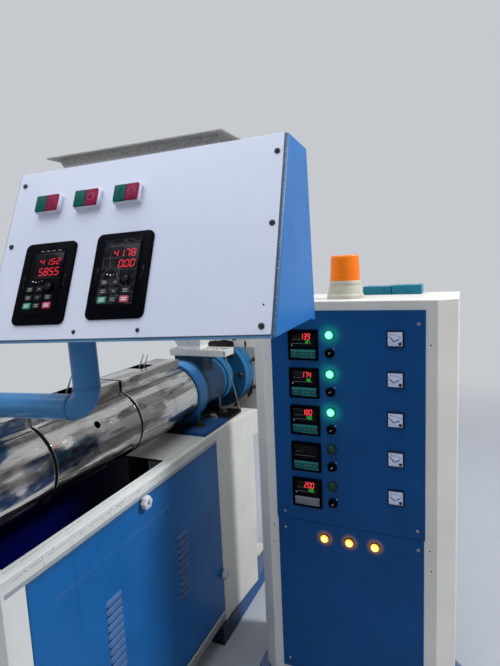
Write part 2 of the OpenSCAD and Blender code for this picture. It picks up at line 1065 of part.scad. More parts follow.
module beacon_base() {
    rim = 14;
    step = 5;
    color("ivory")
        translate([beacon_x, beacon_y, cab_top]) {
            cylinder(d = beacon_foot, h = rim);
            translate([0, 0, rim])
                cylinder(d1 = beacon_foot - step, d2 = beacon_d + step,
                         h = beacon_base - rim);
        }
}

module beacon_lens() {
    lens_taper = 4;
    color("orange")
        translate([beacon_x, beacon_y, cab_top + beacon_base])
            cylinder(d1 = beacon_d, d2 = beacon_d - lens_taper, h = beacon_h);
}

module terminal_box() {
    color("teal")
        span([tbox_x0, tbox_y, cab_top],
             [tbox_x1, tbox_y + tbox_d, cab_top + tbox_h]);
}

base_frame();
drive_bay_near();
drive_bay_far();
side_door_near();
side_door_far();
door_knobs_near();
door_knobs_far();
end_panel();
deck_plate();
skid_near();
skid_far();
barrel();
heater_bands();
shroud_1();
shroud_2();
shroud_3();
feed_housing();
foot_plate();
slide_gate();
hopper();
gearbox_flange();
gearbox();
pedestal();
arm_post();
arm_pipe();
console_box();
console_panel();
push_buttons();
keypad_frames();
keypads();
cabinet();
plinth();
cabinet_panel_upper();
cabinet_panel_lower();
controllers();
ammeters();
green_lamps();
amber_lamps();
selector_rings();
selector_1();
selector_2();
selector_3();
selector_4();
selector_5();
beacon_base();
beacon_lens();
terminal_box();
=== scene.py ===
import json
import math
import bpy
import bmesh
import numpy as np
from mathutils import Matrix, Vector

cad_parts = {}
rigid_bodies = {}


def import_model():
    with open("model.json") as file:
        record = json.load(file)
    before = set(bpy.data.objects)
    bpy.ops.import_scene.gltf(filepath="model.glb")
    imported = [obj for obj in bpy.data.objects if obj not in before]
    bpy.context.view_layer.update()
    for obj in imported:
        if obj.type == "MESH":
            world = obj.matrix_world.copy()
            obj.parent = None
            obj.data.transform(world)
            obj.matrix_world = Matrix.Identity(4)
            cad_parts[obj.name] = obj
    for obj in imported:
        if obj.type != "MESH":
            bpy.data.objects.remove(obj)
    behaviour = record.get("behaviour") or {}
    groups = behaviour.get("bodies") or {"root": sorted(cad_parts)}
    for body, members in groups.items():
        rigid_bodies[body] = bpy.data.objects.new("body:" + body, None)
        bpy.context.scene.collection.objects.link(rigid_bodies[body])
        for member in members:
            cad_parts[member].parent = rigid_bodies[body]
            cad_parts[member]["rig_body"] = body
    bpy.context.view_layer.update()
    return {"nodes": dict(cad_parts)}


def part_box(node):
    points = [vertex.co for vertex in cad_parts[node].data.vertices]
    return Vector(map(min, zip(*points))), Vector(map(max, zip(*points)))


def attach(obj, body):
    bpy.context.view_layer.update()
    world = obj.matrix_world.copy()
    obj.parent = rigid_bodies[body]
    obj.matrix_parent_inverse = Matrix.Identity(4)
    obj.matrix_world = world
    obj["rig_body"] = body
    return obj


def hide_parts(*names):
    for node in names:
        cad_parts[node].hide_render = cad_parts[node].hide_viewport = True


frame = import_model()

# Plastic extruder: shrouded barrel, hopper and drive on a frame, a swinging
# console and a heater cabinet. Lengths below are in millimetres unless a note
# says otherwise, and mm turns them into Blender's metres.
mm = 0.001
chance = np.random.RandomState(7)

barrel = dict(x=-352, z=1020, shroudRadius=113.5, endY=144, pitch=367, gap=5, throatY=322)
side = dict(nearX=-171, farX=-533)
cabinet = dict(faceY=-37, frameY=-35, top=1396.6, rowPitch=120.3)
lamp = dict(x=332, middle=1053.8, lens=28, ring=32, proud=12, amberZ=633.3, amberX=(302.5, 382, 461.5))
console = dict(post=(-513, -665, 1197), swing=3.9, rise=1.5, slope=24.7, start=(323, 10), riser=173,
               width=607.5, height=384.7, edge=6, bend=5.5)


def rowZ(i, middle):
    # height in instrument row i, counted from the top, from the height in the middle row
    return middle + (2 - i) * cabinet["rowPitch"]


def added(name, data):
    thing = bpy.data.objects.new(name, data)
    bpy.context.scene.collection.objects.link(thing)
    return thing


def standing(place, right, up, back):
    # a turn whose columns are three directions, moved to a place in metres
    return Matrix.Translation(place) @ Matrix(np.column_stack([right, up, back]).tolist()).to_4x4()


print("camera")
view = dict(place=(0.7045, -1.4867, 1.5098), yaw=-23.589, pitch=7.647, roll=-2.534, lens=26.73)
yaw, pitch, roll = [math.radians(view[name]) for name in ("yaw", "pitch", "roll")]
ahead = np.array([math.sin(yaw) * math.cos(pitch), math.cos(yaw) * math.cos(pitch), -math.sin(pitch)])
level = np.array([math.cos(yaw), -math.sin(yaw), 0])
upward = np.cross(level, ahead)
camera = added("camera", bpy.data.cameras.new("camera"))
camera.data.lens = view["lens"]
camera.data.sensor_width = 36
camera.data.clip_start = 0.02
camera.matrix_world = standing(view["place"], math.cos(roll) * level + math.sin(roll) * upward,
                               math.cos(roll) * upward - math.sin(roll) * level, -ahead)
bpy.context.scene.camera = camera

print("materials")


def linear(code):
    # sRGB hex to linear: the straight part below 0.04045, the power part above
    c = np.array([int(code[i:i + 2], 16) for i in (1, 3, 5)]) / 255
    c = np.where(c <= 0.04045, c / 12.92, ((c + 0.055) / 1.055) ** 2.4)
    return (*c.tolist(), 1.0)


def put(tree, kind, settings=None, **sockets):
    # a node, its settings, and its sockets by name (_ for a space) or i0, i1...
    node = tree.nodes.new("ShaderNode" + kind)
    for key, value in (settings or {}).items():
        setattr(node, key, value)
    for key, value in sockets.items():
        spot = node.inputs[int(key[1:]) if key[0] == "i" and key[1:].isdigit() else key.replace("_", " ")]
        if isinstance(value, bpy.types.NodeSocket):
            tree.links.new(value, spot)
        else:
            spot.default_value = value
    return node


def startMaterial(name):
    material = bpy.data.materials.new(name)
    material.use_nodes = True
    material.node_tree.nodes.clear()
    return material, material.node_tree, put(material.node_tree, "TexCoord").outputs["Object"]


def finished(material, surface):
    put(material.node_tree, "OutputMaterial", Surface=surface)
    return material


def principled(material, **sockets):
    return finished(material, put(material.node_tree, "BsdfPrincipled", **sockets).outputs[0])


def maths(tree, how, a, b=0.0):
    return put(tree, "Math", dict(operation=how), i0=a, i1=b).outputs[0]


def blended(tree, factor, below, above):
    return put(tree, "Mix", dict(data_type="RGBA"), i0=factor, i6=below, i7=above).outputs[2]


def tinted(tree, colour, mask, amount, code):
    # the colour moves towards a hex colour by the amount, where the mask is
    return blended(tree, maths(tree, "MULTIPLY", mask, amount), colour, linear(code))


def between(tree, value, low, high, start=0.0, end=1.0):
    # a smooth step that is start below low and end above high
    return put(tree, "MapRange", dict(interpolation_type="SMOOTHSTEP"), i0=value, i1=low, i2=high, i3=start,
               i4=end).outputs[0]


def noise(tree, place, scale, detail, stretch=(1, 1, 1), shift=0.0, rough=0.5):
    spot = put(tree, "Mapping", Vector=place, Scale=stretch,
               Location=(shift, shift * 1.7, shift * 0.6)).outputs[0]
    return put(tree, "TexNoise", Vector=spot, Scale=scale, Detail=detail, Roughness=rough).outputs["Fac"]


def speckle(tree, place, size, low, high, detail=3.0, stretch=(1, 1, 1), shift=0.0, rough=0.55):
    # noise of a real size in millimetres, cut to a mask between low and high
    return between(tree, noise(tree, place, 1 / (size * mm), detail, stretch, shift, rough), low, high)


def bumped(tree, height, strength, distance, **below):
    # relief over the relief below it; the distance is in metres
    return put(tree, "Bump", Strength=strength, Distance=distance, Height=height, **below).outputs[0]


def nearest(tree, place, centres):
    # distance in metres to the nearest of some points
    gaps = [put(tree, "VectorMath", dict(operation="DISTANCE"), i0=place,
                i1=tuple(v * mm for v in centre)).outputs["Value"] for centre in centres]
    near = gaps[0]
    for gap in gaps[1:]:
        near = maths(tree, "MINIMUM", near, gap)
    return near


def enamel(name, paint, shade, dirt, dirtAmount=0.35, gloss=0.34, bumps=0.05, chips=0.0, chipColour="#B9BDC2",
           dustAndTopLightColour="#A9A69C", dustAndTopLight=0.0, streaks=0.3, shine=0.3, glows=(), stainsAndShade=()):
    # sprayed enamel on sheet steel: orange peel, cloudy colour, hanging streaks, greasy dirt in blotches and
    # chipped specks, dust on what faces up (on the louvres also painted light from above), and bands along
    # one axis: stains, painted shade and painted light
    material, tree, place = startMaterial(name)
    colour = blended(tree, speckle(tree, place, 260, 0.3, 0.7, 4), linear(paint), linear(shade))
    run = speckle(tree, place, 34, 0.56, 0.8, 4, (1, 1, 0.09), 0.4)
    colour = tinted(tree, colour, run, streaks * 0.5, dirt)
    blotch = speckle(tree, place, 70, 0.55, 0.78, 7, shift=1.3, rough=0.7)
    fine = speckle(tree, place, 7, 0.45, 0.75, 4, shift=2.1, rough=0.7)
    grime = maths(tree, "MULTIPLY", blotch, maths(tree, "ADD", fine, 0.25))
    colour = tinted(tree, colour, grime, dirtAmount, dirt)
    rough = between(tree, blotch, 0, 1, gloss, min(gloss + 0.22, 0.9))
    if dustAndTopLight:
        normal = put(tree, "NewGeometry").outputs["Normal"]
        facing = between(tree, put(tree, "SeparateXYZ", Vector=normal).outputs[2], 0.25, 0.95)
        dustAndTopLightMask = maths(tree, "MULTIPLY", facing,
                        maths(tree, "MULTIPLY", maths(tree, "ADD", fine, 0.45), dustAndTopLight))
        colour = blended(tree, dustAndTopLightMask, colour, linear(dustAndTopLightColour))
        rough = maths(tree, "ADD", rough, maths(tree, "MULTIPLY", dustAndTopLightMask, 0.3))
    for axis, low, high, tint, amount in stainsAndShade:
        # a band of colour between two places along one axis, ragged by the noise; stains, painted shade and
        # painted light are all drawn so
        along = put(tree, "SeparateXYZ", Vector=place).outputs["XYZ".index(axis)]
        ragged = maths(tree, "MULTIPLY", between(tree, along, low * mm, high * mm),
                       maths(tree, "ADD", maths(tree, "MULTIPLY", fine, 0.6), 0.55))
        colour = tinted(tree, colour, ragged, amount, tint)
    if chips:
        spot = speckle(tree, place, 3.2, 0.73, 0.76, 2, shift=3.7)
        spread = between(tree, speckle(tree, place, 90, 0.4, 0.7, 2, shift=4.4), 0.2, 1)
        colour = tinted(tree, colour, maths(tree, "MULTIPLY", spot, spread), chips, chipColour)
    skin = bumped(tree, speckle(tree, place, 2.2, 0.2, 0.8, 2, shift=0.9), bumps, 0.0004)
    skin = bumped(tree, speckle(tree, place, 190, 0.2, 0.8, 2, shift=5.9), bumps * 2.5, 0.006, Normal=skin)
    halo = None
    for centres, tint, reach, power in glows:
        # lamp light on the paint: a ramp from the lens edge to its reach round the nearest lamp,
        # to the power 2.2
        ramp = put(tree, "MapRange", i0=nearest(tree, place, centres), i1=lamp["lens"] / 2 * mm,
                   i2=reach * mm, i3=1.0, i4=0.0).outputs[0]
        spot = put(tree, "VectorMath", dict(operation="SCALE"), i0=tuple(c * power for c in linear(tint)[:3]),
                   Scale=maths(tree, "POWER", ramp, 2.2)).outputs[0]
        halo = put(tree, "VectorMath", dict(operation="ADD"), i0=halo, i1=spot).outputs[0] if halo else spot
    light = dict(Emission_Color=halo, Emission_Strength=1.0) if halo else {}
    return principled(material, Base_Color=colour, Roughness=rough, Normal=skin, Specular_IOR_Level=shine,
                      **light)


def moulded(name, colour, worn, gloss=0.3, grain=0.15, size=1.2, spread=40, shine=0.3, paintedGlow=0.0):
    # moulded plastic: fine grain, cloudy colour and rubbed patches, and where asked a painted glow in its own
    # colour
    material, tree, place = startMaterial(name)
    patch = speckle(tree, place, spread, 0.4, 0.75, 5, rough=0.65)
    return principled(material, Base_Color=blended(tree, patch, linear(colour), linear(worn)),
                      Roughness=between(tree, patch, 0, 1, gloss, min(gloss + 0.2, 0.95)),
                      Normal=bumped(tree, noise(tree, place, 1 / (size * mm), 2.0), grain, 0.0002),
                      Specular_IOR_Level=shine, Emission_Color=linear(colour), Emission_Strength=paintedGlow)


def bareMetal(name, colour, tarnish, rough=0.3, size=30, amount=0.6, metal=1.0):
    # bare or plated metal: brushed grain, tarnish in blotches
    material, tree, place = startMaterial(name)
    patch = speckle(tree, place, size, 0.42, 0.68, 6, rough=0.7)
    return principled(material, Base_Color=tinted(tree, linear(colour), patch, amount, tarnish),
                      Metallic=metal, Roughness=between(tree, patch, 0, 1, rough, min(rough + 0.3, 0.95)),
                      Normal=bumped(tree, noise(tree, place, 900.0, 3.0, (1, 0.12, 1)), 0.12, 0.0002))


def glowing(name, colour, edge, strength, lamps=()):
    # a lit lens or segment: whiter towards each lamp's middle, or a little uneven where no lamps are named
    material, tree, place = startMaterial(name)
    if lamps:
        spread = between(tree, nearest(tree, place, lamps), 0.005, 0.0165)
    else:
        spread = put(tree, "TexVoronoi", Vector=place, Scale=1 / (1.6 * mm)).outputs["Distance"]
    tint = blended(tree, between(tree, spread, 0.1, 0.8), linear(colour), linear(edge))
    return principled(material, Base_Color=tint, Roughness=0.25, Emission_Color=tint,
                      Emission_Strength=strength)


def mirrorSheet():
    # polished stainless shroud: long wavy dents, grey and dark streaks along the sheet that are painted
    # reflections, straw and brown heat tint, fine scratches and greasy smears
    material, tree, place = startMaterial("polishedShroudSteel")
    colour = linear("#CFCDC9")
    # the first two rows are painted reflections: grey and dark streaks along the sheet
    for size, low, high, detail, stretch, shift, rough, amount, code in (
            (50, 0.47, 0.57, 5, (1, 0.1, 1), 0.3, 0.55, 1.0, "#8A8680"),
            (38, 0.58, 0.64, 4, (1, 0.12, 1), 2.6, 0.5, 0.6, "#3C3A36"),
            (120, 0.5, 0.68, 4, (1, 0.7, 1), 6.1, 0.55, 0.4, "#8F8266"),
            (4, 0.64, 0.7, 3, (1, 0.5, 1), 7.7, 0.55, 0.55, "#3A332A")):
        mask = speckle(tree, place, size, low, high, detail, stretch, shift, rough)
        colour = tinted(tree, colour, mask, amount, code)
    smear = speckle(tree, place, 50, 0.4, 0.75, 6, (1, 0.3, 1), 4.2, 0.7)
    skin = bumped(tree, noise(tree, place, 17.0, 2.0, (1, 0.14, 1)), 0.5, 0.012)
    skin = bumped(tree, noise(tree, place, 9.0, 1.0), 0.4, 0.02, Normal=skin)
    skin = bumped(tree, noise(tree, place, 420.0, 4.0, (1, 0.05, 1)), 0.08, 0.0003, Normal=skin)
    return principled(material, Base_Color=colour, Metallic=1.0,
                      Roughness=between(tree, smear, 0, 1, 0.12, 0.4), Normal=skin)


def dialFace():
    # ammeter card: pale lavender card with faint print
    material, tree, place = startMaterial("meterCard")
    tint = blended(tree, speckle(tree, place, 3, 0.3, 0.8, 3), linear("#CFD8EC"), linear("#BEC9E0"))
    return principled(material, Base_Color=tint, Roughness=0.5, Coat_Weight=0.6, Coat_Roughness=0.06)


def clearFilm():
    # wrinkled protective film: clear, with creases that catch the light
    material, tree, place = startMaterial("wrinkledFilm")
    crease = put(tree, "TexVoronoi", dict(feature="DISTANCE_TO_EDGE"), Vector=place,
                 Scale=46.0).outputs["Distance"]
    height = maths(tree, "ADD", maths(tree, "MULTIPLY", crease, 3.0), noise(tree, place, 70.0, 3.0))
    gloss = put(tree, "BsdfPrincipled", Base_Color=linear("#D8DCE2"), Roughness=0.16,
                Normal=bumped(tree, height, 0.9, 0.003))
    clear = put(tree, "BsdfTransparent")
    near = maths(tree, "ADD", between(tree, crease, 0.0, 0.035, 0.1, 0.0), 0.01)
    return finished(material, put(tree, "MixShader", i0=near, i1=clear.outputs[0],
                                  i2=gloss.outputs[0]).outputs[0])


def onFace(spots, proud=0):
    # places on the cabinet's face, (x, z), as points that stand proud of it
    return [(x, cabinet["faceY"] - proud, z) for x, z in spots]


greenSpots = [(lamp["x"], rowZ(i, lamp["middle"])) for i in range(3)]
amberSpots = [(x, lamp["amberZ"]) for x in lamp["amberX"]]
litLamps = [(onFace(greenSpots), "#10C0A0", 48, 0.3), (onFace(greenSpots), "#08A0B0", 150, 0.045),
            (onFace(amberSpots), "#D89008", 34, 0.36)]
finish = dict(
    cream=enamel("creamEnamel", "#DAD8CE", "#D0CEC4", "#6F6A5C", 0.3, 0.36, dustAndTopLight=0.25, chips=0.35,
                 chipColour="#6B5C4A"),
    # near black past x -496, on the inner side: painted shade inside the frame
    farBay=enamel("farBayEnamel", "#DAD8CE", "#D0CEC4", "#6F6A5C", 0.3, 0.36, dustAndTopLight=0.25,
                  stainsAndShade=(("X", -504, -496, "#07070C", 2.5),)),
    cabinetCream=enamel("cabinetEnamel", "#E0DCD1", "#D7D3C7", "#7F7A6C", 0.12, 0.33, dustAndTopLight=0.1, streaks=0.12),
    # near black brown below z 132 to 112: painted shade under the door, with oil on the sill; greyer from y
    # -200 to -120 on towards the back: painted shadow of the cabinet, with dirt
    rail=enamel("railEnamel", "#E0E0D8", "#D4D3CA", "#5E584A", 0.7, 0.4, dustAndTopLight=0.12, chips=0.9,
                chipColour="#3E362C",
                stainsAndShade=(("Z", 132, 112, "#1C1813", 1.0), ("Y", -200, -120, "#7A7868", 0.3))),
    # greyer from y -200 to -120 on towards the back: painted shadow of the cabinet, with dirt; near black in
    # front of y -159.6: painted shade of a dark opening in the deck
    deck=enamel("deckEnamel", "#E0E0D8", "#D4D3CA", "#5E584A", 0.7, 0.4, dustAndTopLight=0.12, chips=0.9,
                chipColour="#3E362C",
                stainsAndShade=(("Y", -200, -120, "#7A7868", 0.22), ("Y", -158.6, -159.6, "#050506", 3.0))),
    seam=enamel("railSeamDirt", "#5E574A", "#48423A", "#2A251E", 0.8, 0.6),
    railLip=enamel("railLipShade", "#A0A7AA", "#90989C", "#3E3C38", 0.7, 0.5, chips=0.4,
                   chipColour="#4E5A66"),
    # dark brown for the gearbox's band, painted shadow of the hopper with dirt, and for its drips
    grime=enamel("gearboxDirtAndShadow", "#4A3D32", "#352B23", "#17130F", 0.9, 0.6),
    wornLow=enamel("rubbedConsoleFoot", "#5E8AAC", "#4F7A9A", "#26384A", 0.9, 0.45, chips=0.9,
                   chipColour="#B4C4D0"),
    worn=enamel("wornConsoleEdge", "#455F78", "#384F64", "#1E2A34", 0.9, 0.45, chips=0.9,
                chipColour="#9DB0BE"),
    pale=enamel("rubbedDoorPaint", "#2565A1", "#205D97", "#123A64", 0.4, 0.35),
    door=enamel("doorBlueEnamel", "#1F65A3", "#1A5A94", "#0D2C4E", 0.4, 0.3, chips=0.25, chipColour="#7C93B0",
                shine=0.1, stainsAndShade=(("Z", 812, 842, "#33414C", 0.7), ("Z", 190, 130, "#12365C", 0.5))),
    # dark navy past x -520, on its inner face: painted shade inside the frame
    farDoor=enamel("farDoorBlueEnamel", "#1B5D98", "#175288", "#0D2C4E", 0.4, 0.3, chips=0.25,
                   chipColour="#7C93B0", shine=0.1, stainsAndShade=(("X", -528, -520, "#050A46", 2.0),)),
    panel=enamel("cabinetBlueEnamel", "#064B84", "#054478", "#052848", 0.35, 0.3, chips=0.4,
                 chipColour="#8A9AB0", streaks=0.15, shine=0.14, glows=litLamps),
    consoleBlue=enamel("consoleBlueEnamel", "#1A70B6", "#1668AA", "#174270", 0.4, 0.36, streaks=0.35,
                       chips=0.3, shine=0.18),
    pipeBlue=enamel("pipeBlueEnamel", "#3C7EAE", "#3473A2", "#1A3850", 0.5, 0.3, streaks=0.25, chips=0.5,
                    shine=0.28),
    # lighter blue before y 200: a painted highlight on the front ring; dark navy from y 217: painted shadow
    # over the feed cylinder; the paint's blue again past y 408 on the flanges, where the painted shadow ends;
    # near black below z 960 to 905: painted shade low down
    feedBlue=enamel("feedBlueEnamel", "#2C678F", "#265A80", "#0E1E2E", 0.7, 0.3, chips=0.6,
                    chipColour="#241E1A", shine=0.12,
                    stainsAndShade=(("Y", 212, 200, "#4386C0", 1.2), ("Y", 206, 217, "#1B3149", 1.6),
                            ("Y", 404, 408, "#2A648C", 1.8), ("Z", 960, 905, "#10161E", 1.0))),
    # near black past y 312 towards the back: oil with painted shade; darker past x -282 towards the middle:
    # painted shadow of the feed cylinder
    footBlue=enamel("footBlueEnamel", "#24598F", "#1D4B7B", "#191613", 1.0, 0.4, dustAndTopLight=0.25,
                    dustAndTopLightColour="#5A554C", chips=0.9, chipColour="#2E241C", shine=0.04,
                    stainsAndShade=(("Y", 238, 312, "#0C0B0A", 2.2), ("X", -245, -282, "#0F1114", 1.5))),
    # near black at the front end, fading out by y 330: painted shade
    skid=enamel("oilySkidEnamelShadedFront", "#1F5288", "#1A487A", "#1C1A1A", 0.7, 0.42, dustAndTopLight=0.35, chips=0.5,
                stainsAndShade=(("Y", 330, 120, "#0A0C10", 1.4),)),
    skidBlue=enamel("skidBlueEnamel", "#1F5288", "#1A487A", "#1C1A1A", 0.7, 0.42, dustAndTopLight=0.35, chips=0.5),
    whitePanel=enamel("consoleWhiteCoat", "#D9DCE6", "#D3D8E6", "#9A9DAA", 0.06, 0.32, 0.03, streaks=0.0),
    gate=enamel("gateWhiteEnamel", "#CFCFCA", "#C4C4BE", "#3E3A34", 1.0, 0.42, dustAndTopLight=0.5, dustAndTopLightColour="#8E8A80",
                chips=0.8, chipColour="#2C2824"),
    hopper=enamel("hopperGreyEnamel", "#EAEAE4", "#E2E2DB", "#6A5A44", 0.4, 0.45, dustAndTopLight=0.4,
                  dustAndTopLightColour="#8A8070",
                  stainsAndShade=(("Z", 1903, 1914, "#57462F", 0.9), ("Z", 1880, 1925, "#B0A890", 0.15))),
    rimDirt=enamel("hopperRimDirt", "#5E5242", "#4A3F32", "#221E18", 0.9, 0.75, dustAndTopLight=0.3,
                   dustAndTopLightColour="#57524A"),
    # pale lavender where the slats face up: dust, and painted light from the sky above
    louvre=enamel("dustAndSkyLightLouvreEnamel", "#4A6E9C", "#426490", "#1E375C", 0.3, 0.5, dustAndTopLight=0.6,
                  dustAndTopLightColour="#8294AE", shine=0.2),
    weld=enamel("paintedWeld", "#36749F", "#2E6891", "#183248", 0.5, 0.4, 0.9),
    gapShade=moulded("shadedLouvreGap", "#0B2C58", "#0A2348", 0.7, shine=0.1),
    # near black: painted shade inside the screw recesses, the frame holes and the louvres' lower lips, and
    # the dark seam between the cabinet panels
    slit=moulded("openSlit", "#07090D", "#0B0E14", 0.8),
    knob=moulded("whiteKnobPlastic", "#D2D2D2", "#BDBCB8", 0.35, 0.2, 1.5, 12),
    black=moulded("blackGrainedPlastic", "#020409", "#04060D", 0.5, 0.4, 0.8, 20, shine=0.02),
    glossBlack=moulded("blackGlossPlastic", "#030406", "#05060A", 0.3, 0.04, 3, 30, shine=0.02),
    screenBlack=moulded("displayWindow", "#030304", "#060508", 0.12, 0.02, 3, 20, shine=0.08),
    unlit=moulded("unlitSegment", "#1B1A1A", "#211F1F", 0.4, 0.1, 1, 10, shine=0.1),
    keyGrey=moulded("keyInk", "#8E8F93", "#7C7D82", 0.5, 0.1, 1, 6),
    keyBlack=moulded("rubberKey", "#0B0C0F", "#121318", 0.6, 0.3, 0.7, 6, shine=0.1),
    keyGreen=moulded("greenKey", "#148058", "#106E4B", 0.4, 0.2, 1, 5),
    keyRed=moulded("redKey", "#B5354C", "#A02B41", 0.4, 0.2, 1, 5),
    buttonGreen=moulded("greenButtonCap", "#07564C", "#054A41", 0.5, 0.1, 1.5, 14, shine=0.06),
    buttonRed=moulded("redButtonCap", "#861C40", "#781736", 0.5, 0.1, 1.5, 14, shine=0.06),
    buttonRing=moulded("buttonInk", "#A34560", "#9A3B57", 0.4, 0.1, 1, 6),
    buttonBody=moulded("greyWhiteButtonBody", "#D6D7E0", "#C6C7D2", 0.35, 0.15, 1.2, 18),
    teal=moulded("tealBoxPlastic", "#187188", "#146479", 0.35, 0.25, 1.4, 40),
    tealKeys=moulded("tealKeyFilm", "#0F5A58", "#0B4C4A", 0.4, 0.12, 1.2, 15, shine=0.15),
    tealLight=moulded("tealLightStripe", "#2F8C86", "#267C77", 0.4, 0.12, 1.2, 15),
    greyKeys=moulded("greyKeyFilm", "#6E7078", "#62646C", 0.4, 0.12, 1.2, 15),
    bezel=moulded("navyMeterBezel", "#0B1322", "#111B2D", 0.35, 0.2, 1, 12, shine=0.15),
    meterInk=moulded("meterInk", "#0E1119", "#141823", 0.5, 0.1, 1, 6, shine=0.1),
    meterCard=dialFace(),
    white=moulded("whiteMark", "#D8D9DC", "#C8C9CE", 0.4, 0.1, 1, 8),
    lampRing=bareMetal("lampRingDark", "#2E3036", "#1A1C20", 0.4, 10, metal=0.7),
    green=glowing("litGreenLens", "#9CFFDE", "#26DE9C", 0.95, onFace(greenSpots, lamp["proud"])),
    greenOff=moulded("unlitGreenLens", "#083F2E", "#063526", 0.25, 0.1, 1.2, 6, shine=0.2),
    amber=glowing("litAmberLens", "#FFEE88", "#FFB828", 1.0, onFace(amberSpots, lamp["proud"])),
    hotDigit=glowing("hotRedSegment", "#FF4A4A", "#F02C3C", 1.0),
    dimDigit=glowing("dimRedSegment", "#D8142E", "#C00E26", 0.62),
    greenDigit=glowing("greenSegment", "#34C828", "#28B01C", 0.8),
    whiteDot=glowing("litDot", "#E8ECF4", "#C8CCD8", 0.8),
    beaconCream=moulded("beaconBasePlastic", "#BDBAA6", "#B0AD98", 0.4, 0.25, 1.6, 30),
    # a faint glow in the lens's own orange: painted light
    beaconOrange=moulded("beaconOrangeLens", "#EE7600", "#DC6A00", 0.12, 0.06, 2.0, 50, 0.4, 0.16),
    zinc=bareMetal("zincScrew", "#9DA3AD", "#5F646C", 0.35, 6),
    rust=bareMetal("rustyBolt", "#5A4434", "#2E211A", 0.7, 8, 0.9, 0.35),
    oldRust=bareMetal("oldRustBolt", "#33261E", "#1A1411", 0.8, 8, 0.9, 0.2),
    dullBolt=bareMetal("dullSteelBolt", "#65676A", "#45413C", 0.5, 8, metal=0.5),
    darkBolt=bareMetal("oiledBolt", "#3C3A38", "#1E1C1B", 0.5, 9, 0.8, 0.7),
    silver=bareMetal("silverLead", "#A8ABB0", "#6A6C70", 0.32, 8),
    # near black: the straps over the sheet gaps, and the painted shadow lines under the folds
    strap=moulded("shroudStrapAndFoldShadow", "#050505", "#0C0B0A", 0.65, 0.3, 1.5, 14, shine=0.05),
    oily=bareMetal("oilyHeaterSteel", "#23211F", "#0F0E0D", 0.5, 26, 0.8, 0.6),
    shroud=mirrorSheet(),
    film=clearFilm(),
    blackScrew=moulded("blackScrewHead", "#15161A", "#23252B", 0.35, 0.3, 0.8, 4),
    granule=moulded("plasticGranule", "#2A2724", "#6E6A62", 0.5, 0.1, 1, 3),
    chip=bareMetal("chippedPaintSteel", "#90A6BA", "#6C8096", 0.5, 2, metal=0.2))

print("shapes")


def frameAt(origin, u, v):
    # a drawing plane: u right, v up and their cross product outwards
    u, v = np.array(u, float), np.array(v, float)
    return np.array(origin, float), np.column_stack([u, v, np.cross(u, v)])


def levelAt(z, x=0, y=0):
    return frameAt((x, y, z), (1, 0, 0), (0, 1, 0))


def wallAt(y):
    return frameAt((0, y, 0), (1, 0, 0), (0, 0, 1))


def consolePlane():
    # the white panel's plane: x to the right, -s up the slope, outwards to the operator
    a, b, c = [math.radians(console[name]) for name in ("swing", "rise", "slope")]
    swing = np.array([[math.cos(a), -math.sin(a), 0], [math.sin(a), math.cos(a), 0], [0, 0, 1]])
    rise = np.array([[math.cos(b), 0, -math.sin(b)], [0, 1, 0], [math.sin(b), 0, math.cos(b)]])
    lean = np.array([[1, 0, 0], [0, math.cos(c), math.sin(c)], [0, -math.sin(c), math.cos(c)]])
    drop = console["height"] * math.cos(c) + console["edge"]
    arm = swing @ rise
    origin = np.array(console["post"]) + arm @ np.array([*console["start"], console["riser"] + drop])
    return frameAt(origin, arm @ lean @ [1, 0, 0], arm @ lean @ [0, 0, 1]), arm


cabinetFace = wallAt(cabinet["faceY"])
cabinetFront = wallAt(cabinet["frameY"])
nearDoor = frameAt((side["nearX"], 0, 0), (0, 1, 0), (0, 0, 1))
farDoor = frameAt((side["farX"], 0, 0), (0, -1, 0), (0, 0, 1))
panelPlane, armTurn = consolePlane()


def placed(plane, points):
    return plane[0] + np.asarray(points, float) @ plane[1].T


def heading(degrees):
    return np.array([math.cos(math.radians(degrees)), math.sin(math.radians(degrees))])


def roundedBox(width, height, radius=2.0, steps=4, centre=(0, 0)):
    # outline of a rounded rectangle: four quarter circles joined, with its outward normals
    a = np.concatenate([np.linspace(q, q + 90, steps + 1) for q in (0, 90, 180, 270)])
    normal = np.column_stack([np.cos(np.radians(a)), np.sin(np.radians(a))])
    sign = np.repeat([[1, 1], [-1, 1], [-1, -1], [1, -1]], steps + 1, 0)
    return sign * [width / 2 - radius, height / 2 - radius] + radius * normal + centre, normal


def disc(radius, sides=24, centre=(0, 0), waves=0, depth=0.0, turned=0.0):
    # outline of a circle whose radius may swell by a cosine, for lobes and flutes
    a = np.linspace(0, 2 * math.pi, sides, endpoint=False) + math.radians(turned)
    normal = np.column_stack([np.cos(a), np.sin(a)])
    r = radius + (depth * np.cos(waves * (a - math.radians(turned))) if waves else 0 * a)
    return normal * r[:, None] + centre, normal


def hexagon(flats, centre=(0, 0), turned=0.0):
    # outline of a bolt head: six straight sides, two points close to each corner
    a = np.radians(np.repeat(np.arange(6) * 60.0, 2) + np.tile([-1.5, 1.5], 6) + turned)
    normal = np.column_stack([np.cos(a), np.sin(a)])
    return normal * flats / math.sqrt(3) + centre, normal


def aimed(outline, along, centre):
    # an outline turned so that its first axis runs along a direction, and moved to a centre
    axes = np.array([along, (-along[1], along[0])])
    return outline[0] @ axes + centre, outline[1] @ axes


def gridFaces(rows, columns, closeRows=False, closeColumns=True):
    # four-sided faces between the neighbours on a grid of points, which may close on itself either way
    i, j = np.meshgrid(np.arange(rows - (not closeRows)), np.arange(columns - (not closeColumns)),
                       indexing="ij")
    nextI, nextJ = (i + 1) % rows, (j + 1) % columns
    return np.stack([i * columns + j, i * columns + nextJ, nextI * columns + nextJ, nextI * columns + j],
                    -1).reshape(-1, 4)


def sheetFaces(rows, columns):
    # the faces of an open sheet, turned the other way round
    return gridFaces(rows, columns, closeColumns=False)[:, [0, 3, 2, 1]].tolist()


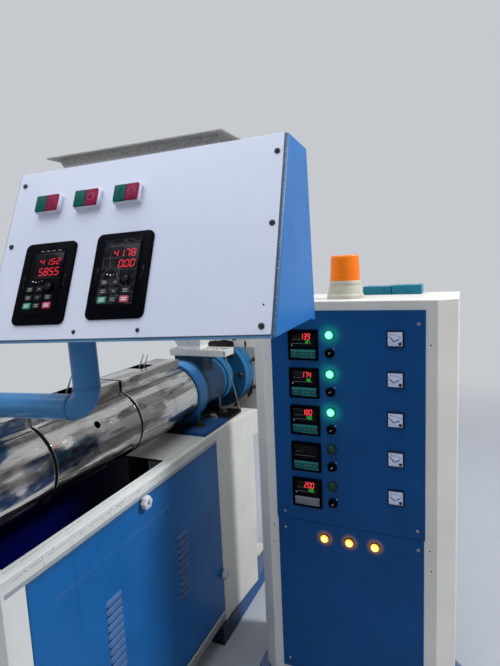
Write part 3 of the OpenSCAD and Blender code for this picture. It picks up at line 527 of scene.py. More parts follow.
def carried(outline, rings, plane):
    # the outline at each ring (inset, height): drawn in along its normals and lifted off the plane
    points, normal = outline
    rings = np.array(rings, float)
    flat = points[None] - rings[:, 0, None, None] * normal[None]
    lift = np.broadcast_to(rings[:, 1, None, None], flat.shape[:2] + (1,))
    return placed(plane, np.concatenate([flat, lift], 2))


def capped(grid, material):
    # rings of points joined into a skin and closed at both ends
    n, m = grid.shape[:2]
    ends = [list(range(m))[::-1], list(range((n - 1) * m, n * m))]
    return grid.reshape(-1, 3), gridFaces(n, m).tolist() + ends, material


def raised(outline, rings, plane, material):
    return capped(carried(outline, rings, plane), material)


def slab(shape, low, high, plane, material):
    # a straight-sided slab on any outline
    return raised((shape, np.zeros_like(shape)), [(0, low), (0, high)], plane, material)


def pillow(outline, height, plane, material, edge=0.6, base=0.0, dome=0.0):
    # a raised plate with a rounded edge, and a low dome when it has one: a quarter sine towards the middle
    top = base + height
    rings = [(0, base), (0, top - edge), (edge * 0.3, top - edge * 0.3), (edge, top)]
    if dome:
        reach = np.abs(outline[0] - outline[0].mean(0)).max()
        rings += [(edge + (reach - edge) * f, top + dome * math.sin(f * math.pi / 2))
                  for f in np.linspace(0.25, 0.97, 5)]
    return raised(outline, rings, plane, material)


def plate(plane, centre, size, height, material, edge=0.1, base=0.0):
    # a raised rounded rectangle; its size is (width, height, corner radius, steps in a corner)
    return pillow(roundedBox(*size, centre), height, plane, material, edge, base)


def ring(outline, wall, height, plane, material, base=0.0, edge=0.5):
    # a closed band: the profile goes up outside, over the rounded edge and down inside
    top = base + height
    grid = carried(outline, [(0, base), (0, top - edge), (edge, top), (wall - edge, top), (wall, top - edge),
                             (wall, base)], plane)
    return grid.reshape(-1, 3), gridFaces(*grid.shape[:2], closeRows=True).tolist(), material


def spun(profile, plane, material, sides=72, waves=0, depth=0.0):
    # a profile of (radius, height) pairs carried round an axis and closed at both ends
    widest = max(r for r, _ in profile)
    return raised(disc(widest, sides, (0, 0), waves, depth), [(widest - r, h) for r, h in profile], plane,
                  material)


def ridge(plane, start, end, width, height, material):
    # a low rounded ridge from start to end on a plane
    start, end = np.array(start, float), np.array(end, float)
    length = np.linalg.norm(end - start)
    outline = aimed(roundedBox(length, width, width / 2 - 0.01, 3), (end - start) / length, (start + end) / 2)
    return raised(outline, [(0, 0), (0, height * 0.5), (width * 0.25, height)], plane, material)


def bar(plane, centre, degrees, reach, width, base, material):
    # a thin bar through a centre, turned by an angle
    outline = aimed(roundedBox(2 * reach, width, width * 0.3, 2), heading(degrees), centre)
    return raised(outline, [(0, base - 0.5), (0, base + 0.12)], plane, material)


def tube(path, radius, material, sides=10, smooth=1):
    # a circle carried along a path, square to it, with closed ends; radius may vary. Each smoothing
    # replaces a corner by the two points midway between it and the middles of its two sides
    path = np.asarray(path, float)
    for _ in range(smooth if len(path) > 2 else 0):
        middle, corner = (path[:-1] + path[1:]) / 2, path[1:-1]
        cut = np.stack([(middle[:-1] + corner) / 2, (middle[1:] + corner) / 2], 1).reshape(-1, 3)
        path = np.concatenate([path[:1], cut, path[-1:]])
    radius = np.interp(np.linspace(0, 1, len(path)), np.linspace(0, 1, np.size(radius)), np.ravel(radius))
    along = np.gradient(path, axis=0)
    along /= np.linalg.norm(along, axis=1)[:, None]
    u = np.cross(np.eye(3)[np.argmin(np.abs(along).max(0))], along)
    u /= np.linalg.norm(u, axis=1)[:, None]
    v = np.cross(along, u)
    a = np.linspace(0, 2 * math.pi, sides, endpoint=False)[None, :, None]
    return capped(path[:, None] + radius[:, None, None] * (u[:, None] * np.cos(a) + v[:, None] * np.sin(a)),
                  material)


def bolt(plane, centre, flats, head, material, washer=0.0, turned=0.0, shank=0.0):
    # hexagon head with a chamfered top, on a washer and under a stud's end when it has them
    base = 2.5 if washer else 0.0
    rim = flats / math.sqrt(3)
    top = base + head
    parts = [raised(hexagon(flats, centre, turned),
                    [(0, base), (0, base + head * 0.86), (rim * 0.09, top), (rim * 0.55, top)], plane,
                    material)]
    if washer:
        parts.insert(0, pillow(disc(washer, 24, centre), base, plane, material, 0.4))
    if shank:
        parts.append(pillow(disc(flats * 0.31, 16, centre), top + shank, plane, material, 0.8))
    return parts


def crossHead(plane, centre, size, material, turned=20):
    # pan-head screw: domed disc, and a cross recess drawn as two thin crossed bars, painted near black as
    # shade
    height = size * 0.22
    return [pillow(disc(size / 2, 24, centre), height, plane, material, height * 0.5, dome=height * 0.35)] + [
        bar(plane, centre, turned + quarter, size * 0.24, size * 0.13, height * 1.3, "slit")
        for quarter in (0, 90)]


def joined(make, items):
    return [part for item in items for part in make(item)]


def smoothed(mesh, degrees):
    # smooth shading, with edges sharper than an angle kept crisp
    mesh.polygons.foreach_set("use_smooth", np.ones(len(mesh.polygons), bool))
    mesh.set_sharp_from_angle(angle=math.radians(degrees))


def piece(name, parts, body="line", stands=()):
    # parts are (points in millimetres, faces, material name); one mesh, many materials
    names = list(dict.fromkeys(part[2] for part in parts))
    points = np.concatenate([part[0] for part in parts]) * mm
    start = np.cumsum([0] + [len(part[0]) for part in parts])
    faces = [[corner + first for corner in face] for part, first in zip(parts, start) for face in part[1]]
    which = np.concatenate([np.full(len(part[1]), names.index(part[2])) for part in parts])
    mesh = bpy.data.meshes.new(name)
    mesh.from_pydata(points.tolist(), [], faces)
    for material in names:
        mesh.materials.append(finish[material])
    mesh.polygons.foreach_set("material_index", which.astype(np.int32))
    smoothed(mesh, 35)
    mesh.update()
    made = added(name, mesh)
    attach(made, body)
    if stands:
        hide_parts(*stands)


def softened(node, material, width, sharp=28):
    # the CAD solid with its edges rounded: triangles joined to flat faces, then a bevel of a width
    source = frame["nodes"][node]
    mesh = source.data.copy()
    shape = bmesh.new()
    shape.from_mesh(mesh)
    bmesh.ops.remove_doubles(shape, verts=shape.verts, dist=0.00002)
    bmesh.ops.dissolve_limit(shape, angle_limit=math.radians(0.6), verts=shape.verts, edges=shape.edges)
    shape.to_mesh(mesh)
    shape.free()
    mesh.materials.clear()
    mesh.materials.append(finish[material])
    made = added(node + "Finished", mesh)
    smoothed(mesh, sharp)
    bevel = made.modifiers.new("roundedEdges", "BEVEL")
    bevel.width = width * mm
    bevel.segments = 2
    bevel.limit_method = "ANGLE"
    bevel.angle_limit = math.radians(sharp)
    bevel.use_clamp_overlap = True
    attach(made, source["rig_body"])
    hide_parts(node)


def painted(node, material):
    # a CAD node that stays as it is and gets its real finish
    mesh = frame["nodes"][node].data
    mesh.materials.clear()
    mesh.materials.append(finish[material])
    smoothed(mesh, 30)


print("base, doors and drive")
sheetEdges = dict(
    base_frame=("rail", 2.0), drive_bay_near=("cream", 2.0), drive_bay_far=("farBay", 2.0),
    side_door_near=("door", 2.5), side_door_far=("farDoor", 2.5), end_panel=("door", 2.0),
    deck_plate=("deck", 1.5), skid_near=("skid", 2.0), skid_far=("skid", 2.0),
    foot_plate=("footBlue", 1.5), slide_gate=("gate", 2.0),
    gearbox_flange=("feedBlue", 1.5), gearbox=("cream", 3.0), pedestal=("cream", 2.0),
    arm_post=("pipeBlue", 1.0), console_box=("consoleBlue", 1.5), console_panel=("whitePanel", 0.8),
    cabinet=("cabinetCream", 2.0), plinth=("skidBlue", 1.5), cabinet_panel_upper=("panel", 0.8),
    cabinet_panel_lower=("panel", 0.8), feed_housing=("feedBlue", 1.5))
for node, (material, width) in sheetEdges.items():
    softened(node, material, width)
for node, material in dict(barrel="oily", heater_bands="oily", shroud_1="shroud", shroud_2="shroud",
                           shroud_3="shroud", arm_pipe="pipeBlue", hopper="hopper").items():
    painted(node, material)

louvres = dict(rows=10, pitch=23.8, length=67, groups=((-500, 628), (-137, 620)), lift=5.0, drop=14.8)


def louvreSlats(plane, flip):
    # each slat is a quarter sine that swells out of the sheet and tapers at both ends by a sixth power;
    # its open lower lip is painted near black as shade, and a painted shaded gap lies below it
    s = louvres
    parts = []
    u, v = np.meshgrid(np.linspace(-1, 1, 17), np.linspace(0, 1, 7))
    out = 0.2 + s["lift"] * np.sin(v * math.pi / 2) * np.clip(1 - np.abs(u) ** 6, 0, 1) ** 0.5
    rows, columns = u.shape
    edge = (rows - 1) * columns + np.arange(columns - 1)
    lip = np.stack([edge, edge + u.size, edge + u.size + 1, edge + 1], 1).tolist()
    gap = s["pitch"] - s["drop"] - 0.8
    for centre, highest in s["groups"]:
        for row in range(s["rows"]):
            top = highest - row * s["pitch"]
            x, z = flip * centre + u * s["length"] / 2, top - s["drop"] * v ** 1.3
            sheets = [placed(plane, np.stack([x, z, depth], -1)) for depth in (out, np.full_like(out, 0.1))]
            points = np.concatenate(sheets).reshape(-1, 3)
            parts += [(points, sheetFaces(rows, columns), "louvre"), (points, lip, "slit"),
                      plate(plane, (flip * centre, top - s["drop"] + 0.4 - gap / 2),
                            (s["length"] - 3, gap, 1, 2), 0.35, "gapShade")]
    return parts


piece("doorLouvresNear", louvreSlats(nearDoor, 1))
piece("doorLouvresFar", louvreSlats(farDoor, -1))

doorMarks = dict(crease=((-701, 750), (-203, 750)), scratch=((-381, 412), (77, 226)),
                 upright=((64, 545), (64, 325)))
piece("doorCreases", [ridge(nearDoor, *doorMarks["crease"], 13, 0.5, "pale"),
                      ridge(nearDoor, *doorMarks["scratch"], 1.4, 0.15, "consoleBlue"),
                      ridge(nearDoor, *doorMarks["upright"], 3, 0.5, "door")])

railMarks = dict(topX=-196, topZ=881, frontZ=868.5, lip=(839.4, 850.5), start=-832, end=148, dashes=26,
                 specks=60, speckZ=(852, 879))


def railSeams():
    # dirty seams of the folded rail: a wavering groove on its top, one on its face, the shaded
    # lower lip and specks
    parts = []
    m = railMarks
    top = levelAt(m["topZ"])
    low, high = m["lip"]
    for way, face in ((1, nearDoor), (-1, farDoor)):
        x = barrel["x"] + way * (m["topX"] - barrel["x"])
        cuts = np.sort(chance.uniform(m["start"], m["end"], m["dashes"]))
        for a, b in zip(cuts[:-1], cuts[1:]):
            width = chance.uniform(0.5, 1.5)
            first = (x + chance.normal(0, 0.4), a)
            last = (x + chance.normal(0, 0.4), b - chance.uniform(0, 9))
            parts.append(ridge(top, first, last, width, 0.16, "seam"))
            z = m["frontZ"] + chance.normal(0, 0.4)
            parts.append(ridge(face, (way * a, z), (way * (b - chance.uniform(2, 22)), z), width * 0.8, 0.14,
                               "seam"))
        parts.append(plate(face, (way * (m["start"] + m["end"]) / 2, (low + high) / 2),
                           (m["end"] - m["start"] - 8, high - low, 2.5, 4), 0.35, "railLip", 0.2))
        for _ in range(m["specks"]):
            y, z = chance.uniform(m["start"], m["end"]), chance.uniform(*m["speckZ"])
            size = chance.uniform(0.5, 1.9)
            spot = disc(size, 7, (way * y, z), 3, 0.3 * size, chance.uniform(0, 90))
            parts.append(raised(spot, [(0, 0), (0.1, 0.14)], face, "seam"))
    return parts


piece("railSeamLines", railSeams())

knobs = dict(size=42, stem=4, grip=18, places=((-338, 826), (140, 293)))


def doorKnob(plane, centre):
    # six-lobed clamping knob on a short stem, with a moulded centre hole and its screw
    low, high = knobs["stem"], knobs["stem"] + knobs["grip"]
    return [pillow(disc(8, 20, centre), low, plane, "knob", 0.3),
            raised(disc(knobs["size"] / 2 - 1.6, 48, centre, 6, 1.6),
                   [(5, low), (1.6, low + 0.6), (0.3, low + 2.5), (0, low + 5), (0, high - 5),
                    (0.8, high - 2), (3, high - 0.4), (6, high), (13.4, high), (14, high - 3),
                    (14.2, high - 3)], plane, "knob"),
            raised(disc(4.6, 16, centre), [(0, high - 3.2), (0, high - 2.4), (1.5, high - 2.2)], plane,
                   "rust")]


piece("doorKnobsNear", joined(lambda place: doorKnob(nearDoor, place), knobs["places"]),
      stands=("door_knobs_near",))
piece("doorKnobsFar", joined(lambda place: doorKnob(farDoor, (-place[0], place[1])), knobs["places"]),
      stands=("door_knobs_far",))

print("barrel and feed")
footBolts = dict(z=895, out=105, places=((163, "oldRust"), (270, "dullBolt"), (364, "oldRust")))
flangeBolts = dict(y=512, radius=128, first=2, flats=24, head=14)
gearBolts = dict(y=596, radius=172, first=21, flats=16, head=9, stud=14, inward=0.99)
gearFace = wallAt(gearBolts["y"])


def feedFasteners():
    # bolts of the foot plate in two rows, and of the two flanges on circles, eight to a circle
    foot, flange = levelAt(footBolts["z"]), wallAt(flangeBolts["y"])
    parts = []
    for way in (1, -1):
        for y, material in footBolts["places"]:
            parts += bolt(foot, (barrel["x"] + way * footBolts["out"], y), 27, 12, material, 20, 10 * way + y)
    for i in range(8):
        x, z = flangeBolts["radius"] * heading(flangeBolts["first"] + 45 * i)
        parts += bolt(flange, (barrel["x"] + x, barrel["z"] + z), flangeBolts["flats"], flangeBolts["head"],
                      "darkBolt", turned=12 * i)
    for i in range(8):
        x, z = gearBolts["radius"] * heading(gearBolts["first"] + 45 * i)
        x *= 1 if i % 4 in (0, 3) else gearBolts["inward"]
        parts += bolt(gearFace, (barrel["x"] + x, barrel["z"] + z), gearBolts["flats"], gearBolts["head"],
                      "oldRust", turned=20 * i, shank=gearBolts["stud"])
    return parts


piece("feedBolts", feedFasteners())

gearboxDarkShapes = dict(thick=0.2,
                   drips=((-215, 940, 44, 12), (-225, 912, 30, 9), (-206, 975, 26, 6), (-232, 1150, 40, 5)),
                   face=((-455, 1162), (-336, 1169), (-294, 1165), (-290, 1148), (-296, 1137),
                         (-333, 1126), (-463, 1123)))


def gearboxDarkPatches():
    # dark brown on the gearbox: a band with a pointed end, painted shadow of the hopper mixed with dirt, from
    # points spaced along the joined corners; and drips, round ellipses whose radius swells three times; each
    # moved a little by chance
    corners = np.array(gearboxDarkShapes["face"] + gearboxDarkShapes["face"][:1], float)
    t = np.linspace(0, len(corners) - 1, 70, endpoint=False)
    smear = np.stack([np.interp(t, np.arange(len(corners)), corners[:, axis]) for axis in (0, 1)], 1)
    shapes = [smear + chance.normal(0, 1.3, (70, 2))]
    a = np.linspace(0, 2 * math.pi, 28, endpoint=False)
    for x, z, length, width in gearboxDarkShapes["drips"]:
        r = 1 + 0.22 * np.sin(3 * a + x) + chance.normal(0, 0.07, 28)
        shapes.append(np.stack([x + width * r * np.cos(a), z + length / 2 * r * np.sin(a)], 1))
    return [slab(shape, 0, gearboxDarkShapes["thick"], gearFace, "grime") for shape in shapes]


piece("gearboxDarkPatches", gearboxDarkPatches())

foldShade = dict(lower=1.0, lift=0.0, radius=0.9, material="strap")
foldGlint = dict(lower=0.0, lift=0.2, radius=1.3, material="shroud")
shroudTrim = dict(strap=11.5, thick=0.7, hoop=0.5, bead=1.3, arc=(-247.5, 67.5), inset=8,
                  folds=((63, 63, (foldShade, foldGlint)), (-15, -29, (foldShade,))))


def arcBand(y0, y1, height, material, steps=72):
    # a thin band round the barrel over the trim's arc; its section is a low half sine between y0 and y1
    a = np.radians(np.linspace(*shroudTrim["arc"], steps))[None]
    t = np.linspace(0, 1, 7)[:, None]
    r = barrel["shroudRadius"] + 0.1 + height * np.sin(t * math.pi) ** 0.5
    grid = np.stack([barrel["x"] + r * np.cos(a), y0 + (y1 - y0) * t + 0 * a, barrel["z"] + r * np.sin(a)],
                    -1)
    return grid.reshape(-1, 3), sheetFaces(7, steps), material


def shroudEdges():
    # dark straps over the gaps between the sheets, a bright rolled edge each side, and the folds
    # along the sheets, each with a painted shadow line under it
    s = shroudTrim
    parts = []
    w = s["strap"] / 2
    t = np.linspace(0, 1, 9)
    for i in range(3):
        end = barrel["endY"] - i * barrel["pitch"] - barrel["gap"] / 2
        start = end - barrel["pitch"] + barrel["gap"]
        middle = start - barrel["gap"] / 2
        if i < 2:
            parts += [arcBand(middle - w, middle + w, s["thick"], "strap"),
                      arcBand(middle + w, middle + w + s["bead"], s["hoop"], "shroud"),
                      arcBand(middle - w - s["bead"], middle - w, s["hoop"], "shroud")]
        for first, last, lines in s["folds"]:
            for way in (1, -1):
                for line in lines:
                    a = np.radians(first + (last - first) * t - line["lower"])
                    r = barrel["shroudRadius"] + line["lift"]
                    y = start + s["inset"] + (end - start - 2 * s["inset"]) * t
                    path = np.column_stack([barrel["x"] + way * r * np.cos(a), y,
                                            barrel["z"] + r * np.sin(a)])
                    parts.append(tube(path, line["radius"], line["material"], 6, 0))
    return parts


piece("shroudTrim", shroudEdges())

leads = dict(radius=1.5, bottom=1120, top=1203, x=-29, fromShroud=209.5, spread=1.9,
             pair=((-20, -6, 5, 24), (-4, 1, 1, 22)))
terminal = dict(z=1112.6, size=(46, 60, 3, 3), height=9, screwX=12, screwY=14)


def terminalLeads():
    # a pair of narrow silver hairpin leads in each terminal opening, over the terminal block: the height
    # is a half sine to the power 0.4, and the lean follows it
    parts = []
    bed = levelAt(terminal["z"])
    t = np.linspace(0, 1, 25)
    up = np.sin(t * math.pi) ** 0.4
    for i in range(3):
        x, y = barrel["x"] + leads["x"], barrel["endY"] - (i + 1) * barrel["pitch"] + leads["fromShroud"]
        for dx, dy, tip, lean in leads["pair"]:
            rise = leads["top"] + tip - leads["bottom"]
            path = np.column_stack([x + dx + lean * up,
                                    y + dy + leads["spread"] * np.cos(t * math.pi) + lean * 0.9 * up,
                                    leads["bottom"] + rise * up])
            parts.append(tube(path, leads["radius"], "silver", 8, 0))
        parts.append(plate(bed, (x, y + 2), terminal["size"], terminal["height"], "oily", 1.0))
        for dx in (-terminal["screwX"], terminal["screwX"]):
            for dy in (-terminal["screwY"], terminal["screwY"]):
                parts += bolt(bed, (x + dx, y + 2 + dy), 7, 15, "darkBolt")
    return parts


piece("heaterTerminals", terminalLeads())

linkRod = dict(radius=2.6, top=(-184, 277, 1172), foot=(-198, 421, 881.5),
               path=((-184, 280, 1164), (-184, 300, 1120), (-187, 345, 1035), (-190, 385, 960),
                     (-197, 418, 905), (-198, 421, 883)))
piece("gateLinkRod", [tube(linkRod["path"], linkRod["radius"], "silver", 10, 2),
                      tube(linkRod["path"][-2:] + (linkRod["foot"],), (5.6, 5.6, 6.4), "silver", 14, 0),
                      tube((linkRod["path"][0], linkRod["top"]), (4.6, 4.6), "silver", 12, 0)])

grains = dict(count=90, size=3.4, z=1178, shift=40, reachX=122, hopperX=62, reachY=41, hopperY=27)


def spiltGrains():
    # spilt plastic granules: small squashed seven-sided beads scattered by chance, clear of the hopper's foot
    g = grains
    parts = []
    gateTop = levelAt(g["z"])
    for _ in range(g["count"]):
        x = barrel["x"] + g["shift"] + chance.uniform(-g["reachX"], g["reachX"])
        y = barrel["throatY"] + chance.choice([-1, 1]) * chance.uniform(g["hopperY"], g["reachY"])
        if abs(x - barrel["x"]) > g["hopperX"]:
            y = barrel["throatY"] + chance.uniform(-g["reachY"], g["reachY"])
        parts.append(raised(disc(g["size"] * chance.uniform(0.35, 0.6), 7, (x, y)),
                            [(0.3, 0), (0, 0.7), (0.2, 1.5), (0.7, 2.1)], gateTop, "granule"))
    return parts


piece("spiltGranules", spiltGrains())

rim = dict(size=722, z=1937, lip=29, thick=0.5)
corners = np.array([(1, 1), (-1, 1), (-1, -1), (1, -1)], float)
piece("hopperRimDirt", [ring((corners * (rim["size"] / 2 - 0.3), corners), rim["lip"] - 3, rim["thick"],
                             levelAt(rim["z"], barrel["x"], barrel["throatY"]), "rimDirt", edge=0.2)])

print("console")
panelScrews = dict(large=((17, 31), (17, 178), (596, 38), (596, 183), (590, 370)),
                   small=((218, 371), (357, 371)), hole=(591, 333))
parts = joined(lambda at: crossHead(panelPlane, (at[0], -at[1]), 11, "blackScrew"), panelScrews["large"])
parts += joined(lambda at: crossHead(panelPlane, (at[0], -at[1]), 8, "blackScrew"), panelScrews["small"])
x, s = panelScrews["hole"]
parts.append(pillow(disc(1.8, 12, (x, -s)), 0.4, panelPlane, "blackScrew", 0.2))
piece("consoleScrews", parts, "arm")

pushButton = dict(left=(71, 169, 264), top=70, width=59, height=40, body=11, cap=4.2, border=2, seam=0.7)


def pushButtons():
    # twin push buttons: a grey-white block with a raised green half and red half
    b, p = pushButton, panelPlane
    w, h = b["width"] / 2 - b["border"] - 0.5, b["height"] - 2 * b["border"]
    y, low = -b["top"] - b["height"] / 2, b["body"] - 0.2
    top = low + b["cap"]
    parts = []
    for i, left in enumerate(b["left"]):
        x = left + b["width"] / 2
        green, red = [(x + way * (w + b["seam"]) / 2, y) for way in (-1, 1)]
        parts += [plate(p, (x, y), (b["width"], b["height"], 2.2, 4), b["body"], "buttonBody", 1.2),
                  plate(p, green, (w, h, 1.6, 4), b["cap"], "buttonGreen", 0.9, low),
                  plate(p, red, (w, h, 1.6, 4), b["cap"], "buttonRed", 0.9, low),
                  ring(roundedBox(w - 4, h - 4, 1.2, 3, green), 0.7, 0.15, p, "tealKeys", top, 0.05)]
        if i:
            parts.append(ring(disc(8.2, 36, red), 1.1, 0.18, p, "buttonRing", top, 0.05))
    return parts


piece("pushButtonPairs", pushButtons(), "arm", ("push_buttons",))

# each stroke's middle as a share of the figure's width and height, and whether it stands upright
segments = dict(a=(0.5, 1, False), g=(0.5, 0.5, False), d=(0.5, 0, False), f=(0, 0.75, True),
                b=(1, 0.75, True), e=(0, 0.25, True), c=(1, 0.25, True))
segmentCodes = {"0": "abcdef", "1": "bc", "2": "abged", "3": "abgcd", "4": "fgbc", "5": "afgcd",
                "6": "afgedc", "7": "abc", "8": "abcdefg", "9": "abcdfg"}
figureStyle = dict(width=0.66, stroke=0.13, lean=0.09, lit=0.25, unlit=0.1)


def digits(text, plane, left, top, width, height, lift, material, unlit=None):
    # seven-segment figures: each stroke is a thin six-sided bar; a dot follows its figure
    f = figureStyle
    parts = []
    figures, dot = text.replace(".", ""), text.find(".")
    step = width / len(figures)
    w, s, foot = step * f["width"], height * f["stroke"], top - height
    for i, figure in enumerate(figures):
        for letter, (fx, fy, tall) in segments.items():
            lit = letter in segmentCodes[figure]
            if not lit and not unlit:
                continue
            half = (height / 2 if tall else w) / 2 - s * 0.18
            stroke = np.array([(-half, 0), (s / 2 - half, -s / 2), (half - s / 2, -s / 2), (half, 0),
                               (half - s / 2, s / 2), (s / 2 - half, s / 2)])
            if tall:
                stroke = np.column_stack([-stroke[:, 1], stroke[:, 0]])
            stroke = stroke + (left + i * step + step * 0.12 + fx * w, foot + fy * height)
            stroke[:, 0] += f["lean"] * (stroke[:, 1] - foot)
            parts.append(slab(stroke, lift, lift + f["lit" if lit else "unlit"], plane,
                              material if lit else unlit))
        if i + 1 == dot:
            spot = disc(s * 0.55, 8, (left + (i + 1) * step - step * 0.04, foot + s * 0.3))
            parts.append(raised(spot, [(0, lift), (0, lift + f["lit"])], plane, material))
    return parts


keypad = dict(width=126, height=176, frame=4, radius=13, bay=(88, 142, 3, 4), module=(80, 134, 3, 4),
              grip=(5, 26, 2.2, 3), gripOut=50, window=54, key=(20, 13, 3, 4), dial=10)
keypads = (
    dict(left=64, top=179, window=(99, 166, 205), marks=4, leds=(100, 264), columns=(97.5, 121, 146),
         lines=(282, 299.5, 316.5), shown=((108, 161, 217, 229, "41.52"), (109, 161, 237, 252, "585.5"))),
    dict(left=239, top=173, window=(270, 340, 200), marks=0, leds=(276, 260), columns=(273.5, 297.5, 322),
         lines=(277, 295, 312), shown=((283, 334, 211, 225, "41.78"), (297, 335, 233, 247, "0.00"))))


def keypadKey(column, row, x, y, face):
    # a raised key with an up or down arrow in the middle column, and two bars on the others
    p = panelPlane
    colour = {(0, 2): "keyGreen", (2, 2): "keyRed"}.get((column, row), "keyBlack")
    ink, width = ("keyGrey", 10) if colour == "keyBlack" else ("white", 12)
    parts = [plate(p, (x, y), keypad["key"], 1.6, colour, 0.7, face - 0.2)]
    if column == 1 and row < 2:
        slope = -50 if row == 0 else 50
        return parts + [bar(p, (x + way * 1.9, y), way * slope, 2.7, 1.4, face + 1.4, ink) for way in (-1, 1)]
    return parts + [plate(p, (x, y + line), (width, 2.1, 0.6, 2), 0.15, ink, 0.05, face + 1.4)
                    for line in (2.0, -2.0)]


def keypadSet(pad):
    # drive keypad: rounded black frame, sunk bay, glossy module with display, keys and dial
    k, p, lift = keypad, panelPlane, keypad["frame"]
    face = lift + 1.2
    x, y = pad["left"] + k["width"] / 2, -(pad["top"] + k["height"] / 2)
    left, right, top = pad["window"]
    parts = [plate(p, (x, y), (k["width"], k["height"], k["radius"], 8), lift, "black", 1.2),
             ring(roundedBox(*k["bay"], (x, y)), 2.2, 1.0, p, "black", lift - 0.2, 0.4),
             plate(p, (x, y), k["module"], 1.4, "glossBlack", 0.5, lift - 0.2)]
    parts += [plate(p, (x + way * k["gripOut"], y + 2), k["grip"], 0.3, "screenBlack", 0.1, lift)
              for way in (-1, 1)]
    parts.append(plate(p, ((left + right) / 2, -(top + k["window"] / 2)), (right - left, k["window"], 2, 3),
                       0.3, "screenBlack", 0.1, face))
    for x0, x1, s0, s1, text in pad["shown"]:
        parts += digits(text, p, x0, -s0, x1 - x0, s1 - s0, face + 0.3, "dimDigit")
    x, s = pad["leds"]
    for n in range(4):
        parts.append(plate(p, (x + n * 7.5, -s - (2 if n in (1, 2) else 0)), (2.6, 1.5, 0.5, 2), 0.3,
                           "whiteDot" if n < 2 else "keyGrey", 0.1, face))
    parts += [plate(p, (110 + n * 14, -199), (8, 1.5, 0.5, 2), 0.25, "keyGrey", 0.1, face)
              for n in range(pad["marks"])]
    for column, x in enumerate(pad["columns"]):
        for row, s in enumerate(pad["lines"]):
            if (column, row) != (2, 0):
                parts += keypadKey(column, row, x, -s, face)
    x, y = pad["columns"][2] - 2, 4 - pad["lines"][0]
    return parts + [pillow(disc(k["dial"], 40, (x, y), 20, 0.35), 5.0, p, "black", 1.0, face),
                    pillow(disc(k["dial"] - 2.4, 32, (x, y)), 0.5, p, "keyBlack", 0.3, face + 4.8),
                    bar(p, (x + 3, y + 3), 45, 2.4, 0.8, face + 5.3, "keyGrey")]


piece("keypadModules", joined(keypadSet, keypads), "arm", ("keypad_frames", "keypads"))

filmSheet = dict(x=(262, 343), down=(190, 322), out=8.6, wave=0.45, curl=0.9, curlFrom=330)


def wrinkledSheet():
    # loose film over the second keypad: a grid whose height is a sum of crossing sine waves, and
    # a square curl up on the right
    f = filmSheet
    x, s = np.meshgrid(np.linspace(*f["x"], 48), np.linspace(*f["down"], 70))
    wave = np.sin(x * 0.33 + 0.05 * s) + np.sin(s * 0.21 - x * 0.13 + 1.2) + np.sin(x * 0.07 * s * 0.02)
    curl = np.clip((x - f["curlFrom"]) / (f["x"][1] - f["curlFrom"]), 0, 1) ** 2
    grid = placed(panelPlane, np.stack([x, -s, f["out"] + f["wave"] * wave + f["curl"] * curl], -1))
    return [(grid.reshape(-1, 3), sheetFaces(*x.shape), "film")]


piece("keypadFilm", wrinkledSheet(), "arm")


def wornEdges():
    # bare, rubbed rim of the console box round the white panel: bottom strip and the slanting side strips
    w, h, edge, bend = console["width"], console["height"], console["edge"], console["bend"]
    parts = [plate(panelPlane, (w / 2, -h - 3.2), (w + 2, 5.6, 1.2, 3), 0.5, "wornLow", 0.2, -2.5)]
    for x, y, long, tall in ((w + 0.35, -h / 2, 0.9, h + 0.8), (-0.35, -h / 2, 0.9, h + 0.8),
                             (w / 2, -h - 0.35, w + 0.8, 0.9)):
        outline = roundedBox(long, tall, 0.3, 2, (x, y))
        parts.append(raised(outline, [(0, -2.5), (0, -0.4), (0.25, -0.2)], panelPlane, "worn"))
    slant = math.hypot(edge, bend)
    for way in (1, -1):
        start = placed(panelPlane, (w if way > 0 else 0, -h / 2, -2.5))
        over, up = np.array([way * edge, 0, -bend]) / slant, np.array([0, float(way), 0])
        plane = (start, panelPlane[1] @ np.column_stack([over, up, np.cross(over, up)]))
        parts.append(plate(plane, (slant / 2, 0), (slant - 1.4, h + 4, 1.0, 3), 0.4, "worn", 0.2, -0.05))
    return parts


def chippedEdge(flakes=70):
    # flakes of missing paint along the console's front right corner, scattered by chance
    parts = []
    for _ in range(flakes):
        s = chance.uniform(-2, console["height"] + 3)
        x = console["width"] + console["edge"] - 0.6 + chance.normal(0, 0.5)
        size = chance.uniform(0.4, 1.25) ** 1.3
        outline = disc(size, 6, (x, -s), 3, 0.25 * size, chance.uniform(0, 90))
        parts.append(raised(outline, [(0, 0.4), (0, 1.0), (0.2, 1.15)], panelPlane, "chip"))
    return parts


piece("consoleWornEdges", wornEdges(), "arm")
piece("consolePaintChips", chippedEdge(), "arm")

print("cabinet instruments")
controller = dict(size=96, left=201, top=1070.5, stand=8, sink=2.4,
                  shown=(("139", "187"), ("174", "196"), ("180", "400"), None, ("200", "200")))


